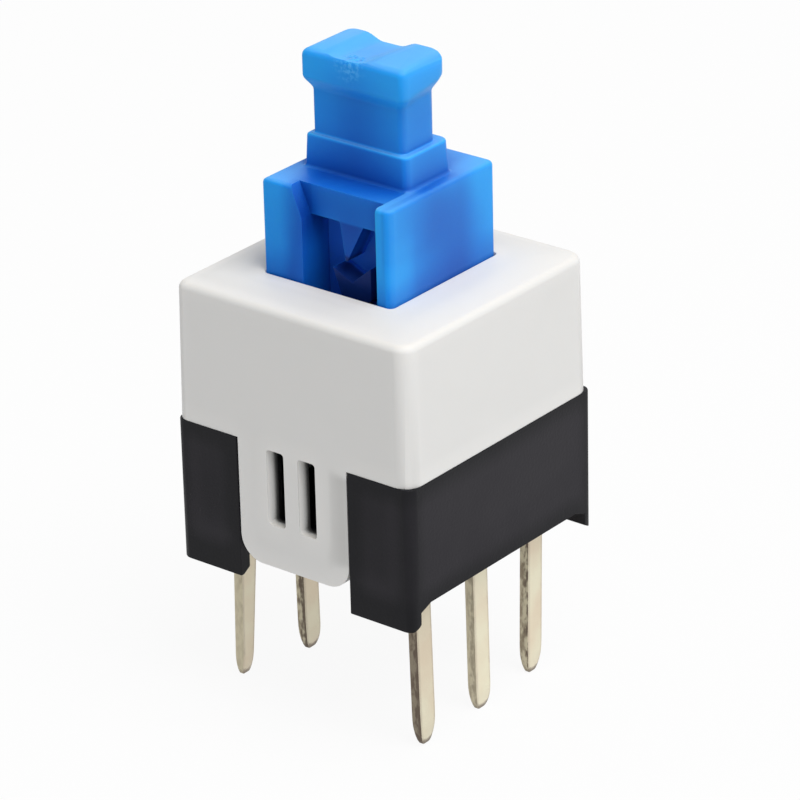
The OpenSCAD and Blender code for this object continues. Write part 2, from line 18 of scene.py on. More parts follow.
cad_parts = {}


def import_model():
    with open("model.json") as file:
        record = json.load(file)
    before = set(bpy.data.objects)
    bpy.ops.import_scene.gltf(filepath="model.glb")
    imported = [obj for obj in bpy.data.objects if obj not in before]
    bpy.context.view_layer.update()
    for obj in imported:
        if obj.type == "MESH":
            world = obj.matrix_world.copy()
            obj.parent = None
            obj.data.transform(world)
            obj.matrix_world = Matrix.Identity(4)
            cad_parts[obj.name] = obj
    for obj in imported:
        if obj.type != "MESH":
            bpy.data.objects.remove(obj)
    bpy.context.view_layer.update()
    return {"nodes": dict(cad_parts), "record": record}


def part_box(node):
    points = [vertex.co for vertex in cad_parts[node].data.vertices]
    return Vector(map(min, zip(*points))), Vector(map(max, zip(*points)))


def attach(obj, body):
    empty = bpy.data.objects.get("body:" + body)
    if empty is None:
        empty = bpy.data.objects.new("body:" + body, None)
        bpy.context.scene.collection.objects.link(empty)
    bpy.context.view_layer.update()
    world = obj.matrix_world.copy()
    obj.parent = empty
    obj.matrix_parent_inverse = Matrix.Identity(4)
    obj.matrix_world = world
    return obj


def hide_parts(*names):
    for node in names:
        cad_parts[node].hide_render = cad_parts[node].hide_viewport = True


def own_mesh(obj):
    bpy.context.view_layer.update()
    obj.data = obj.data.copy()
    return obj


LOG = logging.getLogger("push_switch")
MM = 0.001
ROW, PITCH = 3.0, 2.5
PIN_GRID = tuple((x, y) for x in (-ROW, ROW) for y in (-PITCH, 0.0, PITCH))

Triple = tuple[float, float, float]
Radii = tuple[float, ...]
Outline = Sequence[tuple[float, float]]


# ------------------------------------------------------------------ mesh tools


class Plane(Enum):
    """Plane that an outline is drawn in, and the direction that it is pulled in."""

    TOP = "drawn in X and Y, pulled up"
    FRONT = "drawn in X and Z, pulled back along Y"
    SIDE = "drawn in Y and Z, pulled right along X"

    def place(self, across: float, along: float, depth: float) -> Vector:
        """Turns a point of the outline into a point in space.

        Args:
            across: first coordinate in the outline.
            along: second coordinate in the outline.
            depth: distance along the pull.

        Returns:
            The point, in the same unit.
        """
        if self is Plane.TOP:
            return Vector((across, along, depth))
        if self is Plane.FRONT:
            return Vector((across, depth, along))
        return Vector((depth, across, along))


def arc(x: float, y: float, radius: float, start: float, steps: int) -> list[tuple[float, float]]:
    """Quarter arc that turns anticlockwise.

    Args:
        x: centre, first coordinate.
        y: centre, second coordinate.
        radius: radius of the arc.
        start: start angle in degrees.
        steps: number of chords.

    Returns:
        The points of the arc.
    """
    turns = [radians(start + 90 * k / steps) for k in range(steps + 1)]
    return [(x + radius * cos(a), y + radius * sin(a)) for a in turns]


def quarter_round(steps: int) -> list[tuple[float, float]]:
    """How far in and how far down each point of a quarter round lies, in shares of its radius."""
    turns = [radians(90 * k / steps) for k in range(steps + 1)]
    return [(1 - cos(turn), 1 - sin(turn)) for turn in turns]


def rounded(
    half_x: float, half_y: float, radius: Union[float, Radii], steps: int = 6
) -> list[tuple[float, float]]:
    """Outline of a centred rectangle with round corners.

    Args:
        half_x: half of its first size.
        half_y: half of its second size.
        radius: radius of every corner, or those of the back right, back left, front left and front right one.
        steps: chords for each corner.

    Returns:
        The outline, anticlockwise.
    """
    radii = radius if isinstance(radius, tuple) else (radius,) * 4
    outline: list[tuple[float, float]] = []
    for k, (sign_x, sign_y) in enumerate(((1, 1), (-1, 1), (-1, -1), (1, -1))):
        outline += arc(sign_x * (half_x - radii[k]), sign_y * (half_y - radii[k]), radii[k], 90 * k, steps)
    return outline


def shifted(outline: Outline, x: float, y: float) -> list[tuple[float, float]]:
    """Moves an outline in its own plane."""
    return [(a + x, b + y) for a, b in outline]


class Solid:
    """One closed solid in millimetres, shaped by pulling, cutting, joining and bevelling."""

    def __init__(self, mesh: bmesh.types.BMesh) -> None:
        """Keeps a bmesh as the solid."""
        self.mesh = mesh

    @classmethod
    def pulled(cls, outline: Outline, plane: Plane, low: float, high: float) -> "Solid":
        """Pulls an outline into a prism.

        Args:
            outline: points in the plane.
            plane: the plane that they are drawn in.
            low: start of the pull.
            high: end of the pull.

        Returns:
            The prism.
        """
        return cls.lofted([(outline, low), (outline, high)], plane)

    @classmethod
    def lofted(cls, levels: Sequence[tuple[Outline, float]], plane: Plane) -> "Solid":
        """Pulls an outline through several levels, moving its corners to each level's outline.

        Args:
            levels: outlines with as many points each, and how far along the pull each one lies.
            plane: the plane that they are drawn in.

        Returns:
            The solid.
        """
        mesh = bmesh.new()
        outline, low = levels[0]
        ring = [mesh.verts.new(plane.place(a, b, low)) for a, b in outline]
        face = mesh.faces.new(ring)
        for level, depth in levels[1:]:
            made = bmesh.ops.extrude_discrete_faces(mesh, faces=[face])["faces"]
            face = made[0]
            for vert, (a, b) in zip(face.verts, level):
                vert.co = plane.place(a, b, depth)
        bmesh.ops.holes_fill(mesh, edges=mesh.edges[:], sides=0)
        bmesh.ops.recalc_face_normals(mesh, faces=mesh.faces[:])
        return cls(mesh)

    @classmethod
    def block(cls, low: Iterable[float], high: Iterable[float]) -> "Solid":
        """Box between two corners.

        Args:
            low: its lowest corner.
            high: its highest corner.

        Returns:
            The box.
        """
        low, high = Vector(low), Vector(high)
        size = high - low
        place = Matrix.Translation((low + high) / 2) @ Matrix.Diagonal((*size, 1))
        mesh = bmesh.new()
        bmesh.ops.create_cube(mesh, size=1, matrix=place)
        return cls(mesh)

    @classmethod
    def rod(
        cls, centre: Iterable[float], radius: float, length: float, turn: Euler, sides: int = 32
    ) -> "Solid":
        """Cylinder about a centre.

        Args:
            centre: its middle.
            radius: its radius.
            length: its length.
            turn: rotation of its axis, which is Z before it.
            sides: number of flats.

        Returns:
            The cylinder.
        """
        place = Matrix.Translation(Vector(centre)) @ turn.to_matrix().to_4x4()
        mesh = bmesh.new()
        bmesh.ops.create_cone(
            mesh, cap_ends=True, segments=sides, radius1=radius, radius2=radius, depth=length, matrix=place
        )
        return cls(mesh)

    def _combine(self, others: Sequence["Solid"], operation: str) -> "Solid":
        """Runs Blender's exact boolean with other solids, one after the other.

        Args:
            others: the solids to cut away or to join.
            operation: DIFFERENCE or UNION.

        Returns:
            This solid, changed.
        """
        for other in others:
            body, tool = self._as_object("body"), other._as_object("tool")
            change = body.modifiers.new(operation.lower(), "BOOLEAN")
            change.operation = operation
            change.solver = "EXACT"
            change.object = tool
            bpy.context.view_layer.update()
            shaped = body.evaluated_get(bpy.context.evaluated_depsgraph_get())
            result = bpy.data.meshes.new_from_object(shaped)
            self.mesh = bmesh.new()
            self.mesh.from_mesh(result)
            for scrap in (body, tool):
                data = scrap.data
                bpy.data.objects.remove(scrap)
                bpy.data.meshes.remove(data)
            bpy.data.meshes.remove(result)
        return self

    def _as_object(self, name: str) -> bpy.types.Object:
        """Hands the mesh over to a scratch object.

        Args:
            name: name of the object.

        Returns:
            The object.
        """
        data = bpy.data.meshes.new(name)
        self.mesh.to_mesh(data)
        self.mesh.free()
        scratch = bpy.data.objects.new(name, data)
        bpy.context.scene.collection.objects.link(scratch)
        return scratch

    def cut(self, *others: "Solid") -> "Solid":
        """Takes other solids away from this one."""
        return self._combine(others, "DIFFERENCE")

    def join(self, *others: "Solid") -> "Solid":
        """Adds other solids to this one."""
        return self._combine(others, "UNION")

    def mirror_y(self) -> "Solid":
        """Turns the solid over to the other side of the middle plane, with its faces outwards.

        Returns:
            This solid, changed.
        """
        bmesh.ops.scale(self.mesh, vec=(1, -1, 1), verts=self.mesh.verts[:])
        bmesh.ops.reverse_faces(self.mesh, faces=self.mesh.faces[:])
        return self

    def clean(self) -> None:
        """Merges doubles and flat neighbours, so that each flat side is one face."""
        bmesh.ops.remove_doubles(self.mesh, verts=self.mesh.verts[:], dist=0.0005)
        bmesh.ops.dissolve_limit(
            self.mesh,
            angle_limit=radians(0.6),
            use_dissolve_boundaries=False,
            verts=self.mesh.verts[:],
            edges=self.mesh.edges[:],
        )

    def slice_at(self, height: float) -> None:
        """Divides the faces along a level plane, with nothing cut off."""
        everything = self.mesh.verts[:] + self.mesh.edges[:] + self.mesh.faces[:]
        bmesh.ops.bisect_plane(self.mesh, geom=everything, plane_co=(0, 0, height), plane_no=(0, 0, 1))

    def soften(
        self, width: float, chosen: Callable[[Vector], bool], segments: int, sharper_than: float
    ) -> None:
        """Bevels the sharp edges whose middle is chosen.

        Args:
            width: width of the bevel.
            chosen: says from an edge's middle whether it is bevelled.
            segments: number of strips across the bevel.
            sharper_than: smallest angle between the sides, in degrees.
        """
        limit = radians(sharper_than)
        edges = [
            e
            for e in self.mesh.edges
            if len(e.link_faces) == 2
            and e.calc_face_angle(0) > limit
            and chosen((e.verts[0].co + e.verts[1].co) / 2)
        ]
        bmesh.ops.bevel(
            self.mesh,
            geom=edges,
            offset=width,
            offset_type="OFFSET",
            segments=segments,
            profile=0.5,
            affect="EDGES",
            clamp_overlap=True,
            material=-1,
        )

    def finish(self, name: str, smooth_below: float = 35) -> bpy.types.Object:
        """Turns the solid into a piece of the scene, in metres.

        Args:
            name: name of the piece.
            smooth_below: edges under this angle, in degrees, are shaded smooth.

        Returns:
            The piece.
        """
        bmesh.ops.recalc_face_normals(self.mesh, faces=self.mesh.faces[:])
        bmesh.ops.scale(self.mesh, vec=(MM, MM, MM), verts=self.mesh.verts[:])
        data = bpy.data.meshes.new(name)
        self.mesh.to_mesh(data)
        self.mesh.free()
        data.shade_smooth()
        data.set_sharp_from_angle(angle=radians(smooth_below))
        piece = bpy.data.objects.new(name, data)
        bpy.context.scene.collection.objects.link(piece)
        weigh = piece.modifiers.new("even_shading", "WEIGHTED_NORMAL")
        weigh.keep_sharp = True
        return piece


# ------------------------------------------------------------------- finishes


Feed = Union[bpy.types.NodeSocket, float]
ColourFeed = Union[bpy.types.NodeSocket, Triple]


class NodeBuilder:
    """Adds and links nodes in one tree."""

    def __init__(self, tree: bpy.types.NodeTree) -> None:
        """Keeps the tree."""
        self.tree = tree

    def add(self, kind: str, links: Optional[dict[str, object]] = None, **settings: object) -> bpy.types.Node:
        """Adds a node.

        Args:
            kind: Blender's name of the node type.
            links: for each input, an output socket to link or a value to set.
            settings: the node's own properties.

        Returns:
            The node.
        """
        node = self.tree.nodes.new(kind)
        for key, value in settings.items():
            setattr(node, key, value)
        for key, value in (links or {}).items():
            socket = node.inputs[int(key)] if key.isdigit() else node.inputs[key]
            if isinstance(value, bpy.types.NodeSocket):
                self.tree.links.new(value, socket)
            else:
                socket.default_value = value
        return node

    def noise(self, scale: Feed, detail: float, vector: Optional[Feed] = None) -> bpy.types.NodeSocket:
        """Adds a cloudy noise.

        Args:
            scale: size of the pattern, in cells for each metre.
            detail: number of finer layers.
            vector: the coordinates, Object coordinates if left out.

        Returns:
            The noise, from 0 to 1.
        """
        place = vector or self.add("ShaderNodeTexCoord").outputs["Object"]
        links = {"Vector": place, "Scale": scale, "Detail": detail}
        return self.add("ShaderNodeTexNoise", links).outputs["Fac"]

    def ramp(self, value: Feed, stops: Sequence[tuple[float, Triple]]) -> bpy.types.NodeSocket:
        """Colour ramp over a value.

        Args:
            value: place on the ramp.
            stops: place and colour of each stop.

        Returns:
            The colour.
        """
        node = self.add("ShaderNodeValToRGB", {"Fac": value})
        elements = node.color_ramp.elements
        while len(elements) < len(stops):
            elements.new(0.5)
        for element, (position, colour) in zip(elements, stops):
            element.position = position
            element.color = (*colour, 1)
        return node.outputs["Color"]

    def math(self, operation: str, first: Feed, second: Feed) -> bpy.types.NodeSocket:
        """One sum of two values."""
        return self.add("ShaderNodeMath", {"0": first, "1": second}, operation=operation).outputs[0]

    def times(self, first: Feed, second: Feed) -> bpy.types.NodeSocket:
        """Product of two values."""
        return self.math("MULTIPLY", first, second)

    def axis(self, vector: bpy.types.NodeSocket, name: str) -> bpy.types.NodeSocket:
        """One coordinate of a vector."""
        return self.add("ShaderNodeSeparateXYZ", {"Vector": vector}).outputs[name]

    def mix(self, share: Feed, first: ColourFeed, second: ColourFeed) -> bpy.types.NodeSocket:
        """Mixes two colours, each a socket or three numbers.

        Args:
            share: share of the second colour.
            first: colour at 0.
            second: colour at 1.

        Returns:
            The mixed colour.
        """
        node = self.add("ShaderNodeMix", {"0": share}, data_type="RGBA")
        for index, colour in ((6, first), (7, second)):
            if isinstance(colour, bpy.types.NodeSocket):
                self.tree.links.new(colour, node.inputs[index])
            else:
                node.inputs[index].default_value = (*colour, 1)
        return node.outputs[2]

    def span(
        self, value: Feed, low: float, high: float, out_low: float, out_high: float
    ) -> bpy.types.NodeSocket:
        """Maps a value from one range to another, smoothly and clamped."""
        links = {"Value": value, "From Min": low, "From Max": high, "To Min": out_low, "To Max": out_high}
        return self.add("ShaderNodeMapRange", links, interpolation_type="SMOOTHSTEP").outputs["Result"]

    def surface(
        self, colour: Feed, roughness: Feed, bump: dict[str, Feed], values: dict[str, object]
    ) -> None:
        """Feeds the shader of a material.

        Args:
            colour: its base colour.
            roughness: its roughness.
            bump: inputs of the Bump node.
            values: its plain inputs.
        """
        shader = self.tree.nodes["Principled BSDF"]
        normal = self.add("ShaderNodeBump", bump).outputs["Normal"]
        for label, socket in (("Base Color", colour), ("Roughness", roughness), ("Normal", normal)):
            self.tree.links.new(socket, shader.inputs[label])
        for label, value in values.items():
            shader.inputs[label].default_value = value


def new_material(name: str) -> tuple[bpy.types.Material, NodeBuilder]:
    """Starts a material.

    Args:
        name: name of the material.

    Returns:
        The material and the builder of its nodes.
    """
    material = bpy.data.materials.new(name)
    material.use_nodes = True
    return material, NodeBuilder(material.node_tree)


def new_group(
    name: str, inputs: dict[str, float], outputs: Sequence[str]
) -> tuple[NodeBuilder, bpy.types.bpy_prop_collection, bpy.types.bpy_prop_collection]:
    """Starts a shader node group whose sockets are all values.

    Args:
        name: name of the group.
        inputs: name and default of each input.
        outputs: name of each output.

    Returns:
        The builder of its nodes, the sockets that it is given and the sockets that it has to feed.
    """
    group = bpy.data.node_groups.new(name, "ShaderNodeTree")
    for label, value in inputs.items():
        socket = group.interface.new_socket(name=label, in_out="INPUT", socket_type="NodeSocketFloat")
        socket.default_value = value
    for label in outputs:
        group.interface.new_socket(name=label, in_out="OUTPUT", socket_type="NodeSocketFloat")
    given, wanted = group.nodes.new("NodeGroupInput"), group.nodes.new("NodeGroupOutput")
    return NodeBuilder(group), given.outputs, wanted.inputs


def moulded_grain() -> bpy.types.NodeTree:
    """Fine grain of a moulded plastic: a height for the bump and a slow cloud for colour and gloss.

    Returns:
        The node group.
    """
    scales = {"Grain Scale": 9000, "Cloud Scale": 300}
    build, given, wanted = new_group("moulded_grain", scales, ("Height", "Cloud"))
    fine = build.noise(given["Grain Scale"], 2)
    coarse = build.noise(build.times(given["Grain Scale"], 0.22), 2)
    build.tree.links.new(build.math("ADD", fine, build.times(coarse, 0.7)), wanted["Height"])
    build.tree.links.new(build.noise(given["Cloud Scale"], 3), wanted["Cloud"])
    return build.tree


def moulding_depth() -> bpy.types.NodeTree:
    """How thin and how open a moulding is: Thin is 1 at thin edges, Open is 0 deep in a hollow. The plastics
    paint light at thin edges and shade in hollows from it; the tin marks worn arrises with Thin.

    Returns:
        The node group.
    """
    reaches = {"Edge Reach": 0.001, "Hollow Reach": 0.003}
    build, given, wanted = new_group("moulding_depth", reaches, ("Thin", "Open"))
    share = {}
    for reach, inside in (("Edge Reach", True), ("Hollow Reach", False)):
        distance = {"Distance": given[reach]}
        node = build.add("ShaderNodeAmbientOcclusion", distance, inside=inside, only_local=True, samples=8)
        share[reach] = node.outputs["AO"]
    build.tree.links.new(build.math("SUBTRACT", 1.0, share["Edge Reach"]), wanted["Thin"])
    build.tree.links.new(share["Hollow Reach"], wanted["Open"])
    return build.tree


@dataclass(frozen=True)
class GateScar:
    """The rough spot where the moulding was cut off its gate, in metres."""

    place: Triple
    radius: float
    colour: Triple


@dataclass(frozen=True)
class ShadeAndMarkZone:
    """A box zone whose factor falls inside it by its darkness: painted shade on the plastics, a mark of the
    finish on the tin. Its box, its darkness and how far it fades beyond each side.

    A darkness below zero makes the zone lighter, as painted light.
    """

    low: Triple
    high: Triple
    darkness: float
    fade_low: Triple = (0.1, 0.1, 0.1)
    fade_high: Triple = (0.1, 0.1, 0.1)

    def shadow(self, build: NodeBuilder) -> bpy.types.NodeSocket:
        """Factor that is 1 outside the zone and falls inside it by its darkness: painted shade on the
        plastics, a mask on the tin.

        Args:
            build: adds nodes to the material.

        Returns:
            The factor.
        """
        point = build.add("ShaderNodeTexCoord").outputs["Object"]
        place = build.add("ShaderNodeSeparateXYZ", {"Vector": point})
        inside: Feed = self.darkness
        sides = zip("XYZ", self.low, self.high, self.fade_low, self.fade_high)
        for axis, low, high, below, above in sides:
            for edge, far in ((low, low - below), (high, high + above)):
                inside = build.times(inside, build.span(place.outputs[axis], far * MM, edge * MM, 0, 1))
        return build.math("SUBTRACT", 1.0, inside)


@dataclass(frozen=True)
class PaintedTint:
    """A zone of another colour, painted light on some zones and painted shade on others, whose share there is
    the zone's darkness.
    """

    zone: ShadeAndMarkZone
    colour: Triple


@dataclass(frozen=True)
class Plastic:
    """A moulded plastic, whose colour runs from deep hollows over flat sides to thin edges: painted shade in
    the hollows and painted light at the thin edges, with painted shading zones and painted tints laid on.

    The top highlight is a painted highlight on faces that look up, and the side highlight one on faces that
    look right.
    """

    name: str
    shades: tuple[tuple[float, Triple], ...]
    roughness: tuple[float, float]
    grain: float
    bump: float
    # Share of the ramp that thin edges lift as painted light, and how far the edge and hollow masks reach.
    edge_share: float = 0.4
    edge_reach: float = 0.0009
    hollow_reach: float = 0.0025
    cloud_share: float = 0.06
    bump_depth: float = 0.00002
    glow: float = 0.0
    glow_depth: Triple = (1.0, 1.0, 1.0)
    glow_scale: float = 0.0
    gloss: float = 0.5
    scar: Optional[GateScar] = None
    # Zones of painted shade, and of painted light where their darkness is below zero, and painted tints.
    painted_shading_zones: tuple[ShadeAndMarkZone, ...] = ()
    painted_tints: tuple[PaintedTint, ...] = ()
    # Colours and shares of the painted highlights on faces that look up and on faces that look right.
    top_highlight: Triple = (1.0, 1.0, 1.0)
    top_highlight_share: float = 0.0
    side_highlight: Triple = (1.0, 1.0, 1.0)
    side_highlight_share: float = 0.0

    def build(self, groups: dict[str, bpy.types.NodeTree]) -> bpy.types.Material:
        """Makes the material.

        Args:
            groups: the shared node groups by name.

        Returns:
            The material.
        """
        material, build = new_material(self.name)
        texture = build.add("ShaderNodeGroup", {"Grain Scale": self.grain}, node_tree=groups["moulded_grain"])
        reaches = {"Edge Reach": self.edge_reach, "Hollow Reach": self.hollow_reach}
        depth = build.add("ShaderNodeGroup", reaches, node_tree=groups["moulding_depth"])
        cloud, height = texture.outputs["Cloud"], texture.outputs["Height"]
        # Painted light at thin edges, painted shade in hollows and the painted shading zones pick the colour
        # on the ramp.
        lift = build.times(depth.outputs["Thin"], self.edge_share)
        shade = build.times(build.math("ADD", lift, 1 - self.edge_share), depth.outputs["Open"])
        light: Feed = 1.0
        for shading_zone in self.painted_shading_zones:
            light = build.times(light, shading_zone.shadow(build))
        drift = build.times(build.math("SUBTRACT", cloud, 0.5), self.cloud_share)
        colour = build.ramp(build.math("ADD", build.times(shade, light), drift), self.shades)
        # Painted tints of light and shade in their own colours.
        for painted_tint in self.painted_tints:
            colour = build.mix(painted_tint.zone.shadow(build), painted_tint.colour, colour)
        # Painted highlights on faces that look up and right.
        colour = self.paint_highlights(build, colour, depth, light)
        if self.scar:
            colour, height = self.roughen(build, colour, height)
        roughness = build.span(cloud, 0.3, 0.7, *self.roughness)
        bump = {"Height": height, "Strength": self.bump, "Distance": self.bump_depth}
        values = {
            "Specular IOR Level": self.gloss,
            "Subsurface Weight": self.glow,
            "Subsurface Radius": self.glow_depth,
            "Subsurface Scale": self.glow_scale,
        }
        build.surface(colour, roughness, bump, values)
        return material

    def paint_highlights(
        self, build: NodeBuilder, colour: Feed, depth: bpy.types.Node, light: Feed
    ) -> bpy.types.NodeSocket:
        """Lays the painted highlights over the colour, on faces that look up and on faces that look right.

        Args:
            build: adds nodes to the material.
            colour: the plain colour.
            depth: how thin and how open the moulding is.
            light: factor of all the painted shading zones.

        Returns:
            The colour with the painted highlights.
        """
        normal = build.add("ShaderNodeNewGeometry").outputs["Normal"]
        exposed = build.math("ADD", depth.outputs["Open"], build.times(depth.outputs["Thin"], 0.5))
        exposed = build.span(build.times(exposed, light), 0.75, 1.1, 0, self.top_highlight_share)
        upwards = build.span(build.axis(normal, "Z"), 0.4, 0.95, 0, 1)
        colour = build.mix(build.times(upwards, exposed), colour, self.top_highlight)
        rightwards = build.span(build.axis(normal, "X"), 0.5, 0.95, 0, self.side_highlight_share)
        unshaded = build.span(depth.outputs["Open"], 0.5, 0.9, 0, 1)
        return build.mix(build.times(rightwards, unshaded), colour, self.side_highlight)

    def roughen(self, build: NodeBuilder, colour: Feed, height: Feed) -> tuple[Feed, Feed]:
        """Adds the gate scar to the colour and to the height.

        Args:
            build: adds nodes to the material.
            colour: the plain colour.
            height: the plain height.

        Returns:
            The colour and the height with the scar.
        """
        place = build.add("ShaderNodeTexCoord").outputs["Object"]
        away = build.add("ShaderNodeVectorMath", {"0": place, "1": self.scar.place}, operation="DISTANCE")
        near_it = build.span(away.outputs["Value"], self.scar.radius, self.scar.radius * 0.2, 0, 1)
        crumbs = build.span(build.noise(8000, 6), 0.42, 0.66, 0, 1)
        patch = build.times(near_it, crumbs)
        return build.mix(patch, colour, self.scar.colour), build.math("ADD", height, build.times(patch, 3.0))


@dataclass(frozen=True)
class Metal:
    """A plated or drawn metal, with dull patches."""

    name: str
    colour: Triple
    dull_colour: Triple
    roughness: tuple[float, float]
    grain: float = 12000
    cloud: float = 900
    bump: float = 0.2
    bump_depth: float = 0.00001

    def build(self, groups: dict[str, bpy.types.NodeTree]) -> bpy.types.Material:
        """Makes the material.

        Args:
            groups: the shared node groups by name.

        Returns:
            The material.
        """
        material, build = new_material(self.name)
        scales = {"Grain Scale": self.grain, "Cloud Scale": self.cloud}
        texture = build.add("ShaderNodeGroup", scales, node_tree=groups["moulded_grain"])
        cloud = texture.outputs["Cloud"]
        colour = build.ramp(cloud, ((0.35, self.colour), (0.75, self.dull_colour)))
        roughness = build.span(cloud, 0.3, 0.7, *self.roughness)
        bump = {"Height": texture.outputs["Height"], "Strength": self.bump, "Distance": self.bump_depth}
        build.surface(colour, roughness, bump, {"Metallic": 1.0})
        return material


@dataclass(frozen=True)
class StampedTin:
    """Tin plate on stamped strip: pale faces with worn arrises, sheared faces with a torn dark zone.

    The calm zones are round the pins that the die cut cleanly, and the tips zone round all the pins' ends.
    """

    name: str = "tinned_strip"
    face_colour: Triple = (0.85, 0.80, 0.61)
    face_dull: Triple = (0.80, 0.69, 0.52)
    arris_colour: Triple = (0.42, 0.35, 0.27)
    burnished: Triple = (0.66, 0.60, 0.44)
    burnished_dull: Triple = (0.36, 0.30, 0.21)
    torn: Triple = (0.13, 0.095, 0.07)
    grain: float = 14000
    cloud: float = 700
    streak: float = 9000
    bump: float = 0.35
    bump_depth: float = 0.00002
    metallic: float = 0.55
    tips: ShadeAndMarkZone = ShadeAndMarkZone((-4.0, -4.0, -4.4), (4.0, 4.0, -4.1), 1.0, fade_high=(0.1, 0.1, 0.35))
    calm: tuple[ShadeAndMarkZone, ShadeAndMarkZone] = (
        ShadeAndMarkZone((2.5, -0.7, -5.0), (3.5, 0.7, 1.0), 0.6),
        ShadeAndMarkZone((-3.7, -3.1, -5.0), (-2.5, -1.9, 1.0), 0.75),
    )

    def build(self, groups: dict[str, bpy.types.NodeTree]) -> bpy.types.Material:
        """Makes the material.

        Args:
            groups: the shared node groups by name.

        Returns:
            The material.
        """
        material, build = new_material(self.name)
        place = build.add("ShaderNodeTexCoord").outputs["Object"]
        scales = {"Grain Scale": self.grain, "Cloud Scale": self.cloud}
        texture = build.add("ShaderNodeGroup", scales, node_tree=groups["moulded_grain"])
        depth = build.add("ShaderNodeGroup", {"Edge Reach": 0.0002}, node_tree=groups["moulding_depth"])
        thin = depth.outputs["Thin"]
        drawn_out = build.add("ShaderNodeMapping", {"Vector": place, "Scale": (1.0, 1.0, 0.4)})
        streaks = build.noise(self.streak, 6, drawn_out.outputs["Vector"])
        faces = build.ramp(texture.outputs["Cloud"], ((0.35, self.face_colour), (0.65, self.face_dull)))
        worn = build.times(build.span(thin, 0.2, 0.5, 0, 1.5), streaks)
        faces = build.mix(worn, faces, self.arris_colour)
        # Darker faces round the front right pin.
        faces = build.mix(self.darker_front_pin(0.12).shadow(build), self.torn, faces)
        normal = build.add("ShaderNodeNewGeometry").outputs["Normal"]
        rolled = build.span(build.math("ABSOLUTE", build.axis(normal, "X"), 0), 0.55, 0.9, 0, 1)
        colour = build.mix(rolled, self.shear(build, place, streaks), faces)
        tip = build.math("SUBTRACT", 1.0, self.tips.shadow(build))
        rim = build.times(tip, build.span(thin, 0.3, 0.6, 0, 0.75))
        colour = build.mix(rim, colour, self.torn)
        height = build.math("ADD", texture.outputs["Height"], build.times(streaks, 1.5))
        bump = {"Height": height, "Strength": self.bump, "Distance": self.bump_depth}
        build.surface(colour, build.span(rolled, 0, 1, 0.62, 0.42), bump, {"Metallic": self.metallic})
        return material

    def shear(self, build: NodeBuilder, place: Feed, streaks: Feed) -> bpy.types.NodeSocket:
        """Colour of a sheared face: burnished where the die went in, torn towards the outer arris.

        Args:
            build: adds nodes to the material.
            place: Object coordinates.
            streaks: noise drawn out along the pin.

        Returns:
            The colour.
        """
        x = build.axis(place, "X")
        across = build.math("SUBTRACT", x, build.times(build.math("SIGN", x, 0), ROW * MM))
        calm = build.times(self.calm[0].shadow(build), self.calm[1].shadow(build))
        dull = build.times(build.span(streaks, 0.40, 0.62, 0, 1), calm)
        burnished = build.mix(dull, self.burnished, self.burnished_dull)
        burnished = build.mix(self.darker_front_pin(0.7).shadow(build), self.torn, burnished)
        ragged = build.math("ADD", across, build.times(build.math("SUBTRACT", streaks, 0.5), 0.0006))
        torn_zone = build.span(ragged, -0.00002, 0.00014, 0, 0.85)
        return build.mix(build.times(torn_zone, calm), burnished, self.torn)

    def darker_front_pin(self, darkness: float) -> ShadeAndMarkZone:
        """Zone round the front right pin, where the colour is darker."""
        return ShadeAndMarkZone((2.6, -3.0, -5.0), (3.4, -2.0, 1.0), darkness, (0.1, 0.2, 0.1), (0.1, 0.4, 0.1))


class Finish(Enum):
    """Every finish of the switch; the value is the record's material slot."""

    BLACK = "black_nylon"
    WHITE = "white_abs"
    BLUE = "blue_acetal"
    STEEL = "spring_steel"
    BRONZE = "contact_bronze"
    TIN = "tinned_brass"


# Its ramp paints shade, near black, deep in hollows and darkens thin edges and corners as a painted dark
# reflection.
BLACK_MOULDING = Plastic(
    "black_moulding",
    shades=((0.0, (0.006, 0.006, 0.007)), (0.60, (0.021, 0.0195, 0.024)), (0.74, (0.008, 0.008, 0.010))),
    roughness=(0.46, 0.56),
    grain=11000,
    bump=0.25,
    edge_reach=0.0007,
    gloss=0.15,
)

# Painted shading of the white cover: painted shade deep in the slots, painted light on the slots' lips,
# painted shade on the tongue between the slots, along the tab's right edge and across the top, darkest on its
# left half.
SLOT_HOLLOW = ShadeAndMarkZone((-0.95, -3.52, 1.7), (0.95, -2.0, 4.2), 0.97, (0.2, 0.36, 0.1), (0.2, 0.1, 0.1))
SLOT_LIPS = ShadeAndMarkZone((-0.95, -3.93, 1.7), (0.95, -3.85, 4.2), -0.9, (0.1, 0.03, 0.1), (0.1, 0.22, 0.1))
TONGUE_MIDDLE = ShadeAndMarkZone((-0.12, -4.1, 2.2), (0.12, -3.8, 3.7), 0.32, (0.5, 0.1, 0.9), (0.5, 0.1, 0.6))
TAB_RIGHT = ShadeAndMarkZone((1.80, -4.1, 1.5), (1.95, -3.8, 3.8), 0.38, (0.85, 0.1, 0.6), (0.1, 0.1, 0.4))
COVER_TOP = ShadeAndMarkZone((-4.2, -4.2, 8.0), (0.0, 4.2, 8.5), 0.10, fade_high=(4.0, 0.1, 0.1))

